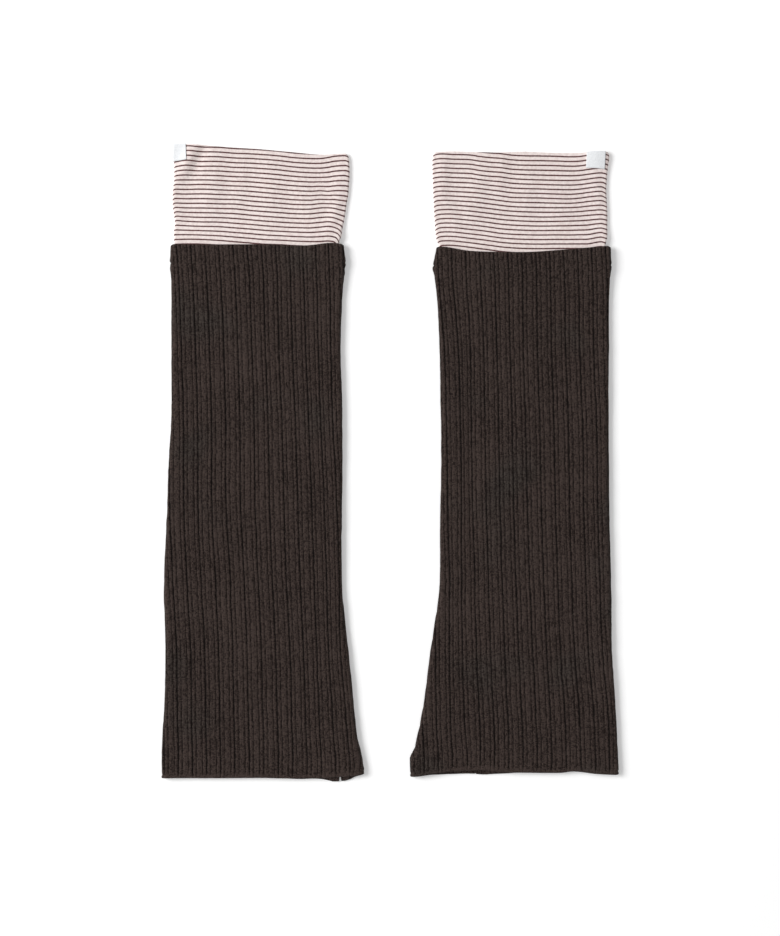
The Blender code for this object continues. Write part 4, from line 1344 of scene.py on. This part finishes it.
def label_tape():
    finish = Finish("white_label_tape", roughness=0.6, sheen_weight=0.15, sheen_roughness=0.4)
    across, along = finish.cloth_coordinates()
    picks = 0.5 + 0.5 * (along * (2 * math.pi / LABEL_PICK)).cosine()
    ends = 0.5 + 0.5 * (across * (2 * math.pi / LABEL_END)).cosine()
    fuzz = finish.noise(1600.0)
    # Each pick's crest is painted lighter than the hollows between picks: painted shade, with the random
    # fuzz.
    shade = fuzz.step(0.3, 0.7) * 0.7 + 0.3 * picks
    white = finish.blend(shade, (0.74, 0.755, 0.775, 1), (0.91, 0.925, 0.94, 1))
    relief = 0.6 * picks + 0.3 * ends + 0.3 * fuzz
    return finish.cover(white, relief, distance=0.00009, strength=0.7)


def thread(name, light, dark):
    finish = Finish(name, roughness=0.7)
    return finish.cover(finish.blend(finish.noise(2500.0), dark, light))


# ---- Stage ----

PHOTO_HEIGHT = 936
PIXEL = 0.72  # millimetres on the floor to one pixel of the photograph
MIDDLE_ROW_BELOW = 6.5  # the photograph's middle row lies this many pixels below the pair's middle
LENS = 85.0
SENSOR = 36.0
CLOTH_HEIGHT = 4.0  # the height above the floor where PIXEL holds

# Metres and watts. Each lamp is a square soft box that faces the middle of the pair.
FLOOR_HALF = 6.0
FLOOR_BELOW = 0.00005  # the floor lies this far below the cloth's lowest points
FLOOR_GLOW = 0.135
WORLD_LIGHT = 0.32
Lamp = namedtuple("Lamp", "name place side watts")
LAMPS = table(Lamp, ("soft_box", (-2.9, 0.7, 2.35), 1.9, 138.0), ("overhead", (0.2, 0.1, 3.0), 0.9, 15.0))


def make_camera():
    """Straight above the pair, through a long lens, framed as the photograph is."""
    camera = bpy.data.cameras.new("camera")
    camera.lens = LENS
    camera.sensor_fit = "AUTO"
    camera.sensor_width = SENSOR
    distance = PHOTO_HEIGHT * PIXEL * LENS / SENSOR
    placed = bpy.data.objects.new("camera", camera)
    placed.location = (0.0, -MIDDLE_ROW_BELOW * PIXEL * MM, (distance + CLOTH_HEIGHT) * MM)
    camera.clip_end = 100.0
    bpy.context.scene.collection.objects.link(placed)
    bpy.context.scene.camera = placed


def make_floor():
    finish = Finish("white_floor", roughness=0.9)
    finish.feed(finish.shader.inputs["Emission Color"], (1, 1, 1, 1))
    finish.feed(finish.shader.inputs["Emission Strength"], FLOOR_GLOW)
    mesh = bpy.data.meshes.new("floor")
    corners = [(x * FLOOR_HALF, y * FLOOR_HALF, 0) for x, y in ((-1, -1), (1, -1), (1, 1), (-1, 1))]
    mesh.from_pydata(corners, [], [(0, 1, 2, 3)])
    mesh.materials.append(finish.cover((0.93, 0.93, 0.93, 1)))
    floor = bpy.data.objects.new("floor", mesh)
    floor.location.z = -FLOOR_BELOW
    bpy.context.scene.collection.objects.link(floor)
    return floor


def make_light():
    for lamp in LAMPS:
        light = bpy.data.lights.new(lamp.name, "AREA")
        light.shape = "RECTANGLE"
        light.size = light.size_y = lamp.side
        light.energy = lamp.watts
        placed = bpy.data.objects.new(lamp.name, light)
        placed.location = lamp.place
        placed.rotation_euler = (-placed.location).to_track_quat("-Z", "Y").to_euler()
        bpy.context.scene.collection.objects.link(placed)
    world = bpy.data.worlds.new("studio")
    world.use_nodes = True
    background = world.node_tree.nodes["Background"].inputs
    background["Color"].default_value = (1, 1, 1, 1)
    background["Strength"].default_value = WORLD_LIGHT
    bpy.context.scene.world = world
    bpy.context.scene.view_settings.view_transform = "Standard"


# ---- The pair ----


def place(piece, slot, node=None):
    """Rides a piece on the part and, where it stands for a solid, hides that solid. The slot is not used."""
    if node:
        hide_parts(node)
    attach(piece, "root")
    return piece


def main():
    make_camera()
    make_light()
    floor = make_floor()
    knit, jersey, tape = rib_knit(), striped_jersey(), label_tape()
    dark_thread = thread("dark_thread", (0.035, 0.027, 0.024, 1), (0.012, 0.009, 0.008, 1))
    white_thread = thread("white_thread", (0.9, 0.9, 0.9, 1), (0.7, 0.7, 0.72, 1))
    for leg in (LEFT, RIGHT):
        body = place(make_body(leg, knit), "rib_knit", f"rib_body_{leg.name}")
        cuff = place(make_cuff(leg, jersey), "striped_jersey", f"striped_cuff_{leg.name}")
        label = place(make_label(leg, tape), "label_tape", f"label_{leg.name}")
        hem_stitches = place(make_hem_stitches(leg, dark_thread), "rib_knit")
        label_stitches = place(make_label_stitches(leg, white_thread), "label_tape")


main()
